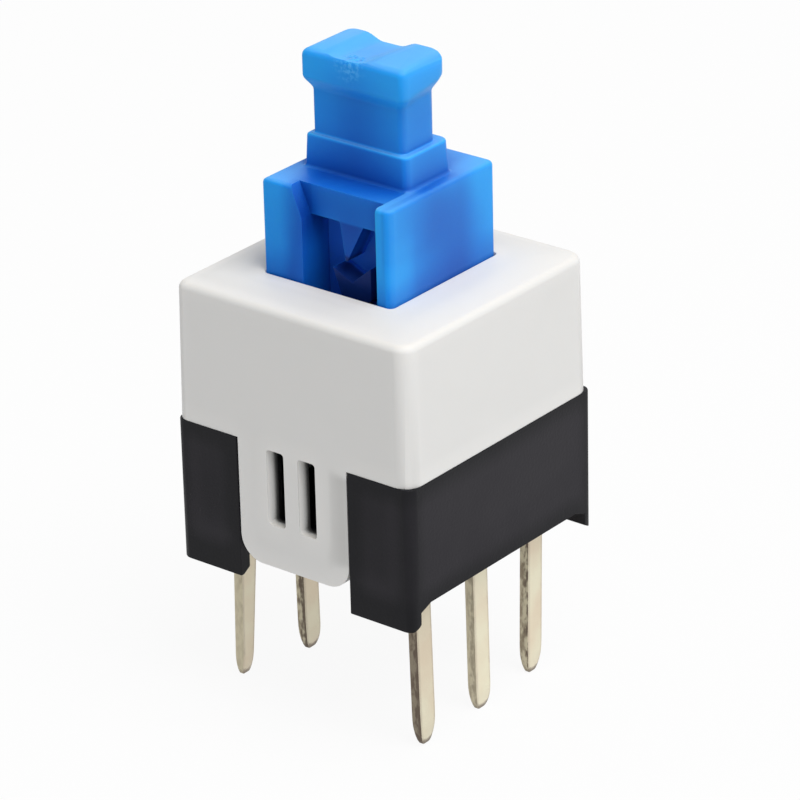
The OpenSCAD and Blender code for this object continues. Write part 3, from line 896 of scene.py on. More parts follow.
# Its ramp paints shade, near black, deep in hollows and painted light at thin edges.
WHITE_MOULDING = Plastic(
    "white_moulding",
    shades=(
        (0.0, (0.02, 0.02, 0.02)),
        (0.25, (0.12, 0.118, 0.115)),
        (0.45, (0.58, 0.575, 0.56)),
        (0.6, (0.765, 0.76, 0.745)),
        (0.95, (0.83, 0.82, 0.80)),
    ),
    roughness=(0.45, 0.55),
    grain=9000,
    bump=0.10,
    edge_reach=0.0006,
    hollow_reach=0.0016,
    glow=0.15,
    glow_depth=(1.0, 0.9, 0.8),
    glow_scale=0.0001,
    gloss=0.35,
    painted_shading_zones=(SLOT_HOLLOW, SLOT_LIPS, TONGUE_MIDDLE, TAB_RIGHT, COVER_TOP),
    top_highlight=(0.80, 0.77, 0.72),
    top_highlight_share=0.6,
)

# Painted shading of the blue button: painted shade in the track's mouth, flank, step and lower part, low on
# the block near the cover and high on its right face near the front; painted light at the block's back right
# edge, on the collar's rim and on the head. TRACK_FLOOR, TRACK_LEFT and ISLAND are painted tints: painted
# light on the track's floor and left wall, painted shade on the island.
TRACK_MOUTH = ShadeAndMarkZone((-0.80, -2.3, 6.0), (1.64, 0.0, 10.9), 0.36, (0.9, 0.05, 0.1), (0.03, 0.1, 0.2))
TRACK_FLANK = ShadeAndMarkZone((-0.82, -2.3, 6.0), (-0.79, -1.9, 10.9), 0.20, (0.8, 0.05, 0.1), (0.03, 0.1, 0.2))
TRACK_STEP = ShadeAndMarkZone((-0.80, -1.98, 6.0), (1.67, -1.76, 10.04), 0.42, fade_high=(0.02, 0.1, 0.1))
TRACK_LOWER = ShadeAndMarkZone((-0.80, -1.98, 6.0), (1.67, -1.2, 9.0), 0.48, fade_high=(0.02, 0.1, 0.3))
TRACK_FLOOR = ShadeAndMarkZone((-0.80, -1.20, 5.5), (1.67, -1.0, 10.04), 0.9, (0.05, 0.25, 0.1), (0.02, 0.05, 0.05))
TRACK_LEFT = ShadeAndMarkZone((-0.95, -2.3, 5.5), (-0.80, -1.25, 9.0), 0.75, (0.40, 0.05, 0.1), (0.04, 0.1, 1.0))
ISLAND = ShadeAndMarkZone((0.0, -2.0, 6.0), (1.20, -1.35, 9.1), 0.85, (0.3, 0.05, 0.1), (0.05, 0.15, 0.1))
BLOCK_FOOT = ShadeAndMarkZone((-2.3, -2.4, 3.0), (2.3, 2.4, 8.1), 0.36, fade_high=(0.1, 0.1, 1.3))
BLOCK_RIGHT = ShadeAndMarkZone((1.9, -2.4, 9.6), (2.3, -0.6, 11.2), 0.15, (0.1, 0.1, 0.8), (0.1, 1.2, 0.1))
BLOCK_BACK = ShadeAndMarkZone((1.8, 1.6, 8.3), (2.3, 2.4, 11.1), -0.22, fade_low=(0.6, 0.9, 0.5))
COLLAR_RIM = ShadeAndMarkZone((-1.75, -1.0, 11.88), (1.75, 1.0, 11.93), -0.35, (0.1, 0.1, 0.08), (0.1, 0.1, 0.04))
HEAD = ShadeAndMarkZone((-1.9, -1.1, 13.5), (1.9, 1.1, 14.5), -0.12, fade_low=(0.1, 0.1, 0.5))

# Its ramp paints shade in hollows and painted light at thin edges.
BLUE_MOULDING = Plastic(
    "blue_moulding",
    shades=(
        (0.0, (0.002, 0.040, 0.28)),
        (0.22, (0.003, 0.058, 0.36)),
        (0.40, (0.006, 0.125, 0.56)),
        (0.62, (0.012, 0.235, 0.76)),
        (0.88, (0.022, 0.38, 0.95)),
    ),
    roughness=(0.34, 0.46),
    grain=7000,
    bump=0.10,
    edge_share=0.55,
    edge_reach=0.0016,
    hollow_reach=0.0030,
    glow=0.3,
    glow_depth=(0.2, 0.6, 1.0),
    glow_scale=0.0003,
    gloss=0.12,
    scar=GateScar((-0.00012, -0.00082, 0.01412), 0.00070, (0.085, 0.46, 0.95)),
    painted_shading_zones=(
        TRACK_MOUTH,
        TRACK_FLANK,
        TRACK_STEP,
        TRACK_LOWER,
        BLOCK_FOOT,
        BLOCK_RIGHT,
        BLOCK_BACK,
        COLLAR_RIM,
        HEAD,
    ),
    painted_tints=(
        PaintedTint(TRACK_FLOOR, (0.018, 0.140, 0.70)),
        PaintedTint(ISLAND, (0.005, 0.021, 0.13)),
        PaintedTint(TRACK_LEFT, (0.006, 0.135, 0.60)),
    ),
    top_highlight=(0.27, 0.58, 0.92),
    top_highlight_share=0.26,
    side_highlight=(0.45, 0.35, 0.15),
    side_highlight_share=0.045,
)


class Wardrobe:
    """Builds each finish once and puts it on pieces."""

    RECIPES = {
        Finish.BLACK: BLACK_MOULDING,
        Finish.WHITE: WHITE_MOULDING,
        Finish.BLUE: BLUE_MOULDING,
        Finish.STEEL: Metal("drawn_steel", (0.62, 0.63, 0.65), (0.50, 0.51, 0.53), (0.25, 0.40)),
        Finish.BRONZE: Metal("rolled_bronze", (0.72, 0.48, 0.25), (0.58, 0.38, 0.20), (0.28, 0.42)),
        Finish.TIN: StampedTin(),
    }

    def __init__(self) -> None:
        """Builds the shared node groups and every material."""
        groups = {group.name: group for group in (moulded_grain(), moulding_depth())}
        self.materials = {finish: recipe.build(groups) for finish, recipe in self.RECIPES.items()}

    def dress(self, piece: bpy.types.Object, finish: Finish) -> None:
        """Gives a piece one finish.

        Args:
            piece: the piece.
            finish: its finish.
        """
        piece.data.materials.clear()
        piece.data.materials.append(self.materials[finish])


# --------------------------------------------------------------- sub-assemblies


def node_box(node: str) -> tuple[Vector, Vector]:
    """Lowest and highest corner of a CAD node, in millimetres."""
    low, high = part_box(node)
    return Vector(low) / MM, Vector(high) / MM


@dataclass(frozen=True)
class Heights:
    """Levels of the switch that the pieces share, in millimetres above the board."""

    floor: float
    seam: float
    ceiling: float
    cover_top: float
    underside: float = 0.65
    block_top: float = 10.95

    @classmethod
    def from_frame(cls, cover_roof: float = 0.8) -> "Heights":
        """Reads the levels that the CAD nodes give.

        Args:
            cover_roof: thickness of the cover's top.

        Returns:
            The levels.
        """
        cover_top = node_box("cover")[1].z
        floor, seam = node_box("return_spring")[0].z, node_box("base")[1].z
        return cls(floor=floor, seam=seam, ceiling=cover_top - cover_roof, cover_top=cover_top)


@dataclass
class Base:
    """The black base: an open box on two foot rails, with the post and the boss inside."""

    heights: Heights
    corner_r: float = 0.3
    side_wall: float = 0.75
    end_wall: float = 0.65
    foot_root: float = 0.8
    foot_wall: float = 0.38
    foot_tip: float = 0.12
    foot_slope: float = 0.15
    tab_half: float = 1.88
    tab_inner: float = 3.32
    hook_half: float = 1.23
    hook_inner: float = 2.97
    hook_top: float = 0.95
    rim: float = 0.045
    notch_r: float = 0.14
    post_low: tuple[float, float] = (-0.3, -2.32)
    post_high: Triple = (0.7, -1.3, 2.55)
    pivot: Triple = (0.2, -1.8, 1.95)
    pivot_r: float = 0.23
    pivot_length: float = 1.6
    boss: Triple = (0, 0.55, 1.35)
    boss_r: float = 0.7
    boss_length: float = 1.6
    slot_half: tuple[float, float] = (0.17, 0.345)
    foot_band: float = 1.1
    seam_band: float = 0.3
    outer_band: float = 0.9

    def shell(self) -> Solid:
        """Builds the open box with its feet and the notches for the cover's tabs.

        Returns:
            The open box.
        """
        low, high = node_box("base")
        half, levels = high.x, self.heights
        solid = Solid.pulled(rounded(half, half, self.corner_r, steps=8), Plane.TOP, low.z, high.z)
        right = [
            (half - self.foot_tip + 0.02, low.z - 0.01),
            (half - self.foot_wall, low.z + self.foot_slope),
            (half - self.foot_wall, levels.underside - self.foot_slope),
            (half - self.foot_root, levels.underside),
        ]
        under = right + [(-y, z) for y, z in reversed(right)]
        inner_x, inner_y = half - self.side_wall, half - self.end_wall
        solid.cut(
            Solid.pulled(under, Plane.SIDE, -half - 1, half + 1),
            Solid.block((-inner_x, -inner_y, levels.floor), (inner_x, inner_y, levels.seam + 1)),
        )
        hook_low = (-self.hook_half, self.hook_inner, -1)
        hook_high = (self.hook_half, self.tab_inner + 0.1, self.hook_top)
        for front in (True, False):
            notch = Solid.pulled(self.notch(), Plane.FRONT, self.tab_inner, half + 1)
            hook = Solid.block(hook_low, hook_high)
            solid.cut(*(tool.mirror_y() if front else tool for tool in (notch, hook)))
        return solid

    def notch(self) -> Outline:
        """Outline of a tab's notch, with its upper corners flared round.

        Returns:
            The outline in X and Z.
        """
        top, r, half = self.heights.seam, self.notch_r, self.tab_half
        right = [(half + r * out, top - r * down) for out, down in quarter_round(6)]
        left = [(-x, z) for x, z in reversed(right)]
        return [(-half, -1), (half, -1), *right, (half + r, top + 1), (-half - r, top + 1), *left]

    def terminal_slots(self) -> list[Solid]:
        """Cutters for the six slots in the floor."""
        wide, long = self.slot_half
        return [Solid.block((x - wide, y - long, -1), (x + wide, y + long, 2)) for x, y in PIN_GRID]

    def build(self, wardrobe: Wardrobe) -> bpy.types.Object:
        """Builds the base, rides it on the housing and dresses it.

        Args:
            wardrobe: the finishes.

        Returns:
            The piece.
        """
        levels, outer = self.heights, node_box("base")[1].x
        solid = self.shell()
        solid.join(
            Solid.block((*self.post_low, levels.underside + 0.02), self.post_high),
            Solid.rod(self.boss, self.boss_r, self.boss_length, Euler((0, 0, 0))),
        )
        pivot_hole = Solid.rod(self.pivot, self.pivot_r, self.pivot_length, Euler((pi / 2, 0, 0)))
        solid.cut(pivot_hole, *self.terminal_slots())
        solid.clean()

        def outside(p: Vector) -> bool:
            """Edges of the outer walls, the feet and the rim."""
            level = p.z < self.foot_band or p.z > levels.seam - self.seam_band or abs(p.y) > 3.9
            return level and max(abs(p.x), abs(p.y)) > outer - self.outer_band

        solid.soften(self.rim, outside, segments=2, sharper_than=35)
        piece = solid.finish("base_moulding")
        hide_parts("base")
        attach(piece, "housing")
        wardrobe.dress(piece, Finish.BLACK)
        return piece


@dataclass
class Cover:
    """The white cover: a shell with a square mouth, and two snap tabs that reach down over the base."""

    heights: Heights
    half: float = 3.97
    corner_r: Radii = (0.5, 0.5, 0.34, 0.5)
    wall: float = 0.7
    draft: float = 0.06
    top_r: float = 0.22
    crown: float = 0.12
    crown_half: float = 2.75
    crown_r: float = 0.35
    mouth: tuple[float, float] = (2.16, 2.285)
    mouth_r: float = 0.15
    tab_half: float = 1.85
    tab_inner: float = 3.35
    tab_low: float = 0.6
    tab_r: float = 0.72
    hook_half: float = 1.2
    hook_inner: float = 3.0
    hook_h: float = 0.32
    slot_half: tuple[float, float] = (0.25, 1.1)
    slot_r: float = 0.1
    slot_flare: float = 0.1
    slot_place: tuple[float, float] = (0.535, 2.95)
    tongue: float = 0.36
    slot_ends: tuple[float, float] = (-4.0, -3.34)
    hollow: float = 0.1
    hollow_end: float = -3.0
    rib_half: float = 0.45
    rib: tuple[float, float] = (0.3, 1.18)
    rib_reach: float = 2.78
    blade_half: tuple[float, float] = (0.17, 0.495)
    blade_top: float = 5.77
    rim: float = 0.07
    mouth_rim: float = 0.06
    outer_from: float = 3.9
    clear: float = 5.0

    def shell(self) -> Solid:
        """Builds the outside, straight beside the tabs and leaning in above the seam, and hollows it.

        Returns:
            The hollow shell with its mouth.
        """
        levels, half = self.heights, self.half
        foot = rounded(half, half, self.corner_r, steps=8)
        rings: list[tuple[Outline, float]] = [(foot, self.tab_low), (foot, levels.seam)]
        for inwards, down in quarter_round(6):
            inset = self.draft + self.top_r * inwards
            radii = tuple(r - inset / 2 for r in self.corner_r)
            outline = rounded(half - inset, half - inset, radii, steps=8)
            rings.append((outline, levels.cover_top - self.top_r * down))
        edge = half - self.draft - self.top_r
        for share in (0.25, 0.5, 0.75, 1.0):
            size = edge + (self.crown_half - edge) * share
            outline = rounded(size, size, self.crown_r, steps=8)
            rings.append((outline, levels.cover_top + self.crown * sin(share * pi / 2)))
        solid = Solid.lofted(rings, Plane.TOP)
        tab, inner, far = self.tab_half, self.tab_inner, self.clear
        skirt = [(-far, -far), (-tab, -far), (-tab, -inner), (tab, -inner), (tab, -far), (far, -far)]
        skirt += [(-x, -y) for x, y in skirt]
        hollow = half - self.wall
        mouth = rounded(*self.mouth, self.mouth_r)
        return solid.cut(
            Solid.pulled(skirt, Plane.TOP, -1, levels.seam),
            Solid.block((-hollow, -hollow, levels.seam - 1), (hollow, hollow, levels.ceiling)),
            Solid.pulled(mouth, Plane.TOP, levels.seam, levels.cover_top + 1),
        )

    def tab_corners(self) -> list[Solid]:
        """Cutters that round the lower corners of both tabs.

        Returns:
            The cutters.
        """
        r, half, low = self.tab_r, self.tab_half, self.tab_low
        right = arc(half - r, low + r, r, 270, 12)
        right += [(half + 0.2, low + r), (half + 0.2, low - 0.2), (half - r, low - 0.2)]
        left = [(-x, z) for x, z in reversed(right)]
        return [Solid.pulled(shape, Plane.FRONT, -self.clear, self.clear) for shape in (right, left)]

    def build(self, wardrobe: Wardrobe) -> bpy.types.Object:
        """Builds the cover, rides it on the housing and dresses it.

        Args:
            wardrobe: the finishes.

        Returns:
            The piece.
        """
        levels = self.heights
        solid = self.shell()
        solid.cut(*self.tab_corners())
        hook_low = (-self.hook_half, self.hook_inner, self.tab_low)
        hook_high = (self.hook_half, self.outer_from, self.tab_low + self.hook_h)
        solid.join(Solid.block(hook_low, hook_high).mirror_y(), Solid.block(hook_low, hook_high))
        wide, high = self.slot_half
        out, middle = self.slot_place
        hollow_x, hollow_z = out + wide + self.hollow, high + self.hollow
        hollow_low = (-hollow_x, self.tongue - self.half, middle - hollow_z)
        solid.cut(Solid.block(hollow_low, (hollow_x, self.hollow_end, middle + hollow_z)))
        rib_low, rib_high = (levels.seam + rise for rise in self.rib)
        rib_from = (-self.rib_half, -self.tab_inner, rib_low)
        solid.join(Solid.block(rib_from, (self.rib_half, -self.rib_reach, rib_high)))
        for place in (-out, out):
            inner = shifted(rounded(wide, high, self.slot_r), place, middle)
            flare = self.slot_flare / 2
            outer = shifted(rounded(wide + flare, high, self.slot_r), place - flare, middle)
            front, back = self.slot_ends
            levels_in = [(outer, front), (inner, front + self.tongue), (inner, back)]
            solid.cut(Solid.lofted(levels_in, Plane.FRONT))
        wide, long = self.blade_half
        for x, y in PIN_GRID:
            solid.cut(Solid.block((x - wide, y - long, 3), (x + wide, y + long, self.blade_top)))
        solid.clean()

        def outside(p: Vector) -> bool:
            """Edges on the outer walls, the seam, the tabs and the slots' mouths."""
            return max(abs(p.x), abs(p.y)) > self.outer_from and p.z < levels.cover_top - 0.4

        def mouth_edge(p: Vector) -> bool:
            """Upper edge of the mouth."""
            return abs(p.z - levels.cover_top - self.crown) < 0.02 and max(abs(p.x), abs(p.y)) < 3

        solid.soften(self.rim, outside, segments=3, sharper_than=40)
        solid.soften(self.mouth_rim, mouth_edge, segments=2, sharper_than=40)
        piece = solid.finish("cover_moulding")
        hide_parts("cover")
        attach(piece, "housing")
        wardrobe.dress(piece, Finish.WHITE)
        return piece


@dataclass
class Button:
    """The blue button: latch block with its track, collar, neck and grooved head."""

    heights: Heights
    block: tuple[float, float] = (2.125, 2.25)
    block_r: Radii = (0.15, 0.15, 0.06, 0.22)
    block_edge: float = 0.13
    leaf: float = 2.5
    flange: Triple = (5.83, 7.33, 2.6)
    pip: Triple = (2.55, 1.4, 6.4)
    pip_r: float = 0.22
    pip_length: float = 0.3
    collar: tuple[float, float] = (1.675, 0.925)
    collar_lean: float = 0.04
    collar_h: float = 0.95
    collar_r: Radii = (0.25, 0.2, 0.07, 0.18)
    collar_edge: float = 0.07
    fillet: float = 0.1
    neck: tuple[float, float] = (1.5, 0.76)
    neck_forward: float = 0.06
    neck_h: float = 1.52
    neck_r: Radii = (0.42, 0.35, 0.08, 0.2)
    neck_fillet: float = 0.05
    head: tuple[float, float] = (1.7, 1.0)
    head_r: Radii = (0.55, 0.3, 0.07, 0.22)
    head_slope: float = 0.22
    head_edge: float = 0.22
    under_rise: float = 0.28
    under_soft: float = 0.12
    left_end: tuple[float, float] = (0.04, 0.03)
    right_front: tuple[float, float] = (0.08, 0.02)
    right_back: tuple[float, float] = (0.65, 0.52)
    dip_left: tuple[float, float] = (-1.15, -0.52)
    dip_right: tuple[float, float] = (0.02, 0.74)
    dip_front: float = 0.08
    dip_back: float = 0.22
    stub: Triple = (-0.12, -0.68, -0.14)
    stub_half: Triple = (0.38, 0.24, 0.065)
    stub_waves: tuple[tuple[float, float], ...] = ((0.035, 11), (0.02, 27))
    pivot_x: float = 0.2
    rest_z: float = 7.05
    swing: float = 0.79
    lane: float = 0.23
    lane_edge_rest: float = 0.4452
    lane_slope: float = 0.3694
    track_w: float = 2.48
    track_deep: float = 1.1
    track_shallow: float = 0.4
    lintel_h: float = 0.85
    low_room: float = 0.45
    flare: float = 0.35
    wedge_h: float = 1.07
    wedge_w: float = 0.78
    wedge_x: float = 0.97
    wedge_tip: float = 0.06
    wedge_lean: float = 0.16
    return_lane: float = 0.52
    island_low: float = 0.4
    island_corner: float = 0.65
    island_point: tuple[float, float] = (0.05, 0.18)
    notch: float = 1.4
    left_horn: float = 1.69
    right_horn: float = 1.93
    wire_room: tuple[Triple, Triple] = ((-0.45, -3.0, -1.0), (0.85, -1.15, 4.9))
    bore: Triple = (0.0, 0.55, 3.9)
    bore_r: float = 1.2
    bore_length: float = 8.0
    left_rim: float = 0.16
    track_rim: float = 0.07
    rims_from: float = 6.5

    def ring(self, size: Sequence[float], radii: Radii, forward: float = 0.0, grow: float = 0.0) -> Outline:
        """Outline of the stem at one level.

        Args:
            size: half its width and half its depth.
            radii: radii of its corners.
            forward: how far its middle lies in front of the button's.
            grow: how far a fillet widens it.

        Returns:
            The outline.
        """
        shape = rounded(size[0] + grow, size[1] + grow, tuple(max(0.02, r + grow * 0.5) for r in radii))
        return shifted(shape, 0, -forward)

    def stem(self) -> Solid:
        """Builds collar, neck and head in one pull, with fillets where each stands on the next.

        Returns:
            The stem.
        """
        base, top = self.heights.block_top, node_box("button")[1].z
        collar_top = base + self.collar_h
        head_low = collar_top + self.neck_h
        collar, neck = (self.collar, self.collar_r), (self.neck, self.neck_r, self.neck_forward)
        rings = [(self.ring(*collar, grow=self.fillet + self.collar_lean), base - 0.3)]
        for up, inwards in quarter_round(4):
            grow = self.collar_lean + self.fillet * inwards
            rings.append((self.ring(*collar, grow=grow), base + self.fillet * up))
        for inwards, down in quarter_round(3):
            outline = self.ring(*collar, grow=-self.collar_edge * inwards)
            rings.append((outline, collar_top - self.collar_edge * down))
        for up, inwards in quarter_round(4):
            outline = self.ring(*neck, grow=self.neck_fillet * inwards)
            rings.append((outline, collar_top + self.neck_fillet * up))
        slope_low, slope_high = head_low - self.head_slope - self.under_soft, head_low + self.under_soft
        for k in range(11):
            height = k / 10
            share = height * height * (3 - 2 * height)
            size = [n + (h - n) * share for n, h in zip(self.neck, self.head)]
            radii = tuple(n + (h - n) * share for n, h in zip(self.neck_r, self.head_r))
            outline = self.ring(size, radii, self.neck_forward * (1 - share))
            rings.append((outline, slope_low + (slope_high - slope_low) * height))
        for inwards, down in quarter_round(5):
            inset = self.head_edge * inwards
            size = (self.head[0], self.head[1] + inset / 4)
            rings.append((self.ring(size, self.head_r, -inset / 4, -inset), top - self.head_edge * down))
        stem = Solid.lofted(rings, Plane.TOP)
        reach = self.head[1]
        for vert in stem.mesh.verts:
            if slope_low - 0.01 < vert.co.z < slope_high + 0.01:
                vert.co.z += self.under_rise * (vert.co.y + reach) / (2 * reach)
        return stem

    def crest(self, dip: float, right_end: tuple[float, float]) -> Outline:
        """Outline of the space above the head, whose lower side is the top of the head.

        Args:
            dip: depth of the dip between the two lands.
            right_end: width and height of the round right end.

        Returns:
            The outline in X and Z.
        """
        top, half, far = node_box("button")[1].z, self.head[0], 1.0
        left_w, left_h = self.left_end
        right_w, right_h = right_end
        turns = [k * pi / 16 for k in range(9)]
        deep = [(1 - cos(2 * turn)) / 2 for turn in turns]
        (rise_left, floor_left), (floor_right, rise_right) = self.dip_left, self.dip_right
        line = [(half - right_w * (1 - cos(t)), top - right_h * (1 - sin(t))) for t in turns]
        line += [(rise_right + (floor_right - rise_right) * k / 8, top - dip * d) for k, d in enumerate(deep)]
        run = floor_left - rise_left
        line += [(rise_left + run * k / 8, top - dip * deep[k]) for k in range(8, -1, -1)]
        line += [(left_w * (1 - sin(t)) - half, top - left_h * (1 - cos(t))) for t in turns]
        right, left = (half + far, top - right_h), (-half - far, top - left_h)
        return [*line, left, (left[0], top + far), (right[0], top + far), right]

    def head_cutter(self) -> Solid:
        """Cutter for the top of the head, whose dip is shallow in front and deeper at the back.

        Returns:
            The cutter.
        """
        front, back, reach = self.dip_front, self.dip_back, self.head[1]
        slope = (back - front) / 2
        ends = [
            (self.crest(front - slope, self.right_front), -2 * reach),
            (self.crest(back + slope, self.right_back), 2 * reach),
        ]
        return Solid.lofted(ends, Plane.FRONT)

    def gate_stub(self) -> Solid:
        """Builds the torn stub of the gate, in the dip near the front edge of the head.

        Returns:
            The stub.
        """
        middle = Vector(self.stub) + Vector((0, 0, node_box("button")[1].z))
        place = Matrix.Translation(middle) @ Matrix.Diagonal((*self.stub_half, 1))
        mesh = bmesh.new()
        bmesh.ops.create_icosphere(mesh, subdivisions=4, radius=1, matrix=place)
        for vert in mesh.verts:
            vert.co.z += sum(height * noise.noise(vert.co * pace) for height, pace in self.stub_waves)
        return Solid(mesh)

    def lane_edge(self, z: float) -> float:
        """Edge of the island beside the lane that the wire's hook runs down."""
        return self.lane_edge_rest - self.lane_slope * (z - self.rest_z)

    def track_cutters(self) -> list[Solid]:
        """Cutters for the latch track, with its island and its wedge left standing.

        Returns:
            The cutters.
        """
        front = -self.block[1]
        top, lintel = self.heights.block_top, self.heights.block_top - self.lintel_h
        left = self.pivot_x - self.swing - self.lane
        right, low = left + self.track_w, self.rest_z - self.low_room
        mouth = [(left, low), (right, low), (right, top + 1), (left - self.flare, top + 1)]
        mouth += [(left - self.flare, top), (left, lintel)]
        deep = [(left, low), (right, low), (right, lintel), (left, lintel)]
        point, horn = self.rest_z + self.island_low, self.rest_z + self.left_horn
        island_right, island_left = right - self.return_lane, self.lane_edge(horn) + self.island_point[0]
        island = [
            *((self.lane_edge(point) + aside, point) for aside in self.island_point),
            (island_right, point + self.island_corner),
            (island_right, self.rest_z + self.right_horn),
            ((island_left + island_right) / 2, self.rest_z + self.notch),
            (island_left, horn),
        ]
        wedge_left, wedge_low = left + self.wedge_x, lintel - self.wedge_h
        wedge = [
            (wedge_left, lintel + 0.5),
            (wedge_left, lintel),
            (wedge_left + self.wedge_lean, wedge_low),
            (wedge_left + self.wedge_lean + self.wedge_tip, wedge_low),
            (wedge_left + self.wedge_w, lintel),
            (wedge_left + self.wedge_w, lintel + 0.5),
        ]
        groove = Solid.pulled(deep, Plane.FRONT, front + 0.1, front + self.track_deep)
        groove.cut(*(Solid.pulled(shape, Plane.FRONT, front - 1, front + 2) for shape in (island, wedge)))
        return [Solid.pulled(mouth, Plane.FRONT, front - 1, front + self.track_shallow), groove]

    def build(self, wardrobe: Wardrobe) -> bpy.types.Object:
        """Builds the button, rides it on its own body and dresses it.

        Args:
            wardrobe: the finishes.

        Returns:
            The piece.
        """
        low, top = node_box("button")[0].z, self.heights.block_top
        half_x, half_y = self.block
        rings = [(rounded(half_x, half_y, self.block_r, steps=5), low)]
        for inwards, down in quarter_round(4):
            inset = self.block_edge * inwards
            radii = tuple(max(0.02, r - inset * 0.6) for r in self.block_r)
            outline = rounded(half_x - inset, half_y - inset, radii, steps=5)
            rings.append((outline, top - self.block_edge * down))
        solid = Solid.lofted(rings, Plane.TOP)
        flange_low, flange_high, flange_back = self.flange
        solid.join(Solid.block((-self.leaf, -half_y, flange_low), (self.leaf, flange_back, flange_high)))
        pip_x, pip_y, pip_z = self.pip
        for x in (-pip_x, pip_x):
            for y in (-pip_y, pip_y):
                solid.join(Solid.rod((x, y, pip_z), self.pip_r, self.pip_length, Euler((0, pi / 2, 0)), 24))
        solid.join(self.stem())
        solid.cut(self.head_cutter(), *self.track_cutters())
        solid.join(self.gate_stub())
        room_low, room_high = self.wire_room
        solid.cut(
            Solid.block(Vector(room_low) + Vector((0, 0, low)), room_high),
            Solid.rod(self.bore, self.bore_r, self.bore_length, Euler((0, 0, 0)), 40),
        )
        solid.clean()
        front, left = -half_y, self.pivot_x - self.swing - self.lane

        def track_edges(p: Vector) -> bool:
            """Edges of the track at the front face and on the island's face."""
            return p.y < front + self.track_shallow + 0.03 and self.rims_from < p.z < top + 0.05

        def left_edge(p: Vector) -> bool:
            """Edge of the front face at the track's left side."""
            return p.y < front + 0.01 and self.rims_from < p.z < top and p.x < left + 0.01

        solid.soften(self.left_rim, left_edge, segments=4, sharper_than=35)
        solid.soften(self.track_rim, track_edges, segments=3, sharper_than=35)
        piece = solid.finish("button_moulding")
        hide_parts("button")
        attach(piece, "button")
        wardrobe.dress(piece, Finish.BLUE)
        return piece


@dataclass(frozen=True)
class Stray:
    """How one pin strays: its lean in X, what its tip lacks, its two tapers and its waist."""

    lean: float = 0.0
    short: float = 0.0
    front_taper: float = 0.95
    back_taper: float = 0.95
    waist: float = 0.0


@dataclass
class Terminals:
    """The six stamped terminals, in two rows of three."""

    heights: Heights
    strip: float = 0.3
    pin_width: float = 0.65
    tip_width: float = 0.2
    tip_thickness: float = 0.12
    squeeze: float = 0.7
    bent_below: float = 0.4
    strays: dict[str, Stray] = field(
        default_factory=lambda: {
            "common_terminal_left": Stray(0.08, 0.02, 0.95, 0.45),
            "common_terminal_right": Stray(0.06, 0.0, 0.95, 0.42),
            "closed_terminal_left": Stray(-0.22, 0.20, 0.55, 0.50, 0.10),
            "closed_terminal_right": Stray(0.10, 0.05),
            "open_terminal_left": Stray(0.04, 0.06, 0.8, 0.9),
            "open_terminal_right": Stray(-0.08, 0.0),
        }
    )
    lead: float = 0.2
    arris: float = 0.03
    curve_steps: int = 6
    window_half: float = 0.3
    window: tuple[float, float] = (2.4, 4.25)

    def outline(self, middle: float, low: float, top: float, blade: float, stray: Stray) -> Outline:
        """Outline of a terminal in Y and Z.

        Args:
            middle: place of the pin in Y.
            low: height of the pin's tip.
            top: height of the blade's top.
            blade: half the blade's width.
            stray: how this pin strays from the drawing.

        Returns:
            The outline, anticlockwise.
        """
        half, tip, shoulder = self.pin_width / 2, self.tip_width / 2, self.heights.floor
        turns = [radians(90 * k / self.curve_steps) for k in range(self.curve_steps + 1)]

        def flank(taper: float) -> Outline:
            """One side of the pin, from its tip up to the board."""
            waist = half - stray.waist
            return [(tip + (waist - tip) * sin(a), low + taper * (1 - cos(a))) for a in turns] + [(half, 0.0)]

        blade_side = [(half, shoulder), (blade, shoulder), (blade, top - self.lead), (blade - self.lead, top)]
        right = flank(stray.back_taper) + blade_side
        left = [(-a, b) for a, b in reversed(flank(stray.front_taper) + blade_side)]
        return shifted(right + left, middle, 0)

    def thin_tip(self, solid: Solid, middle: float, low: float) -> None:
        """Squeezes the strip's thickness towards the tip of the pin.

        Args:
            solid: the terminal.
            middle: place of the strip's middle in X.
            low: height of the tip.
        """
        reach = self.squeeze
        for step in range(1, self.curve_steps + 1):
            solid.slice_at(low + reach * step / self.curve_steps)
        for vert in solid.mesh.verts:
            share = min(1.0, max(0.0, (vert.co.z - low) / reach))
            keep = (self.tip_thickness + (self.strip - self.tip_thickness) * sin(share * pi / 2)) / self.strip
            vert.co.x = middle + (vert.co.x - middle) * keep

    def lean(self, solid: Solid, low: float, stray: Stray) -> None:
        """Leans the pin below the base.

        Args:
            solid: the terminal.
            low: height of the tip.
            stray: how this pin strays from the drawing.
        """
        solid.slice_at(self.bent_below)
        for vert in solid.mesh.verts:
            below = max(0.0, self.bent_below - vert.co.z) / (self.bent_below - low)
            vert.co.x += stray.lean * below

    def build(self, wardrobe: Wardrobe) -> list[bpy.types.Object]:
        """Builds the terminals and lets them ride on the housing.

        Args:
            wardrobe: the finishes.

        Returns:
            The six pieces.
        """
        made = []
        floor = self.heights.floor
        for node, stray in self.strays.items():
            low, high = node_box(node)
            middle, tip = (low + high) / 2, low.z + stray.short
            outline = self.outline(middle.y, tip, high.z, (high.y - low.y) / 2, stray)
            solid = Solid.pulled(outline, Plane.SIDE, low.x, high.x)
            if node.startswith("closed"):
                half, (window_low, window_high) = self.window_half, self.window
                window_from = (low.x - 1, middle.y - half, window_low)
                solid.cut(Solid.block(window_from, (high.x + 1, middle.y + half, window_high)))
            solid.clean()
            solid.soften(self.arris, lambda p: p.z < floor + 0.2, segments=2, sharper_than=50)
            self.thin_tip(solid, middle.x, tip)
            self.lean(solid, tip, stray)
            piece = solid.finish(f"{node}_strip")
            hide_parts(node)
            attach(piece, "housing")
            wardrobe.dress(piece, Finish.TIN)
            made.append(piece)
        return made


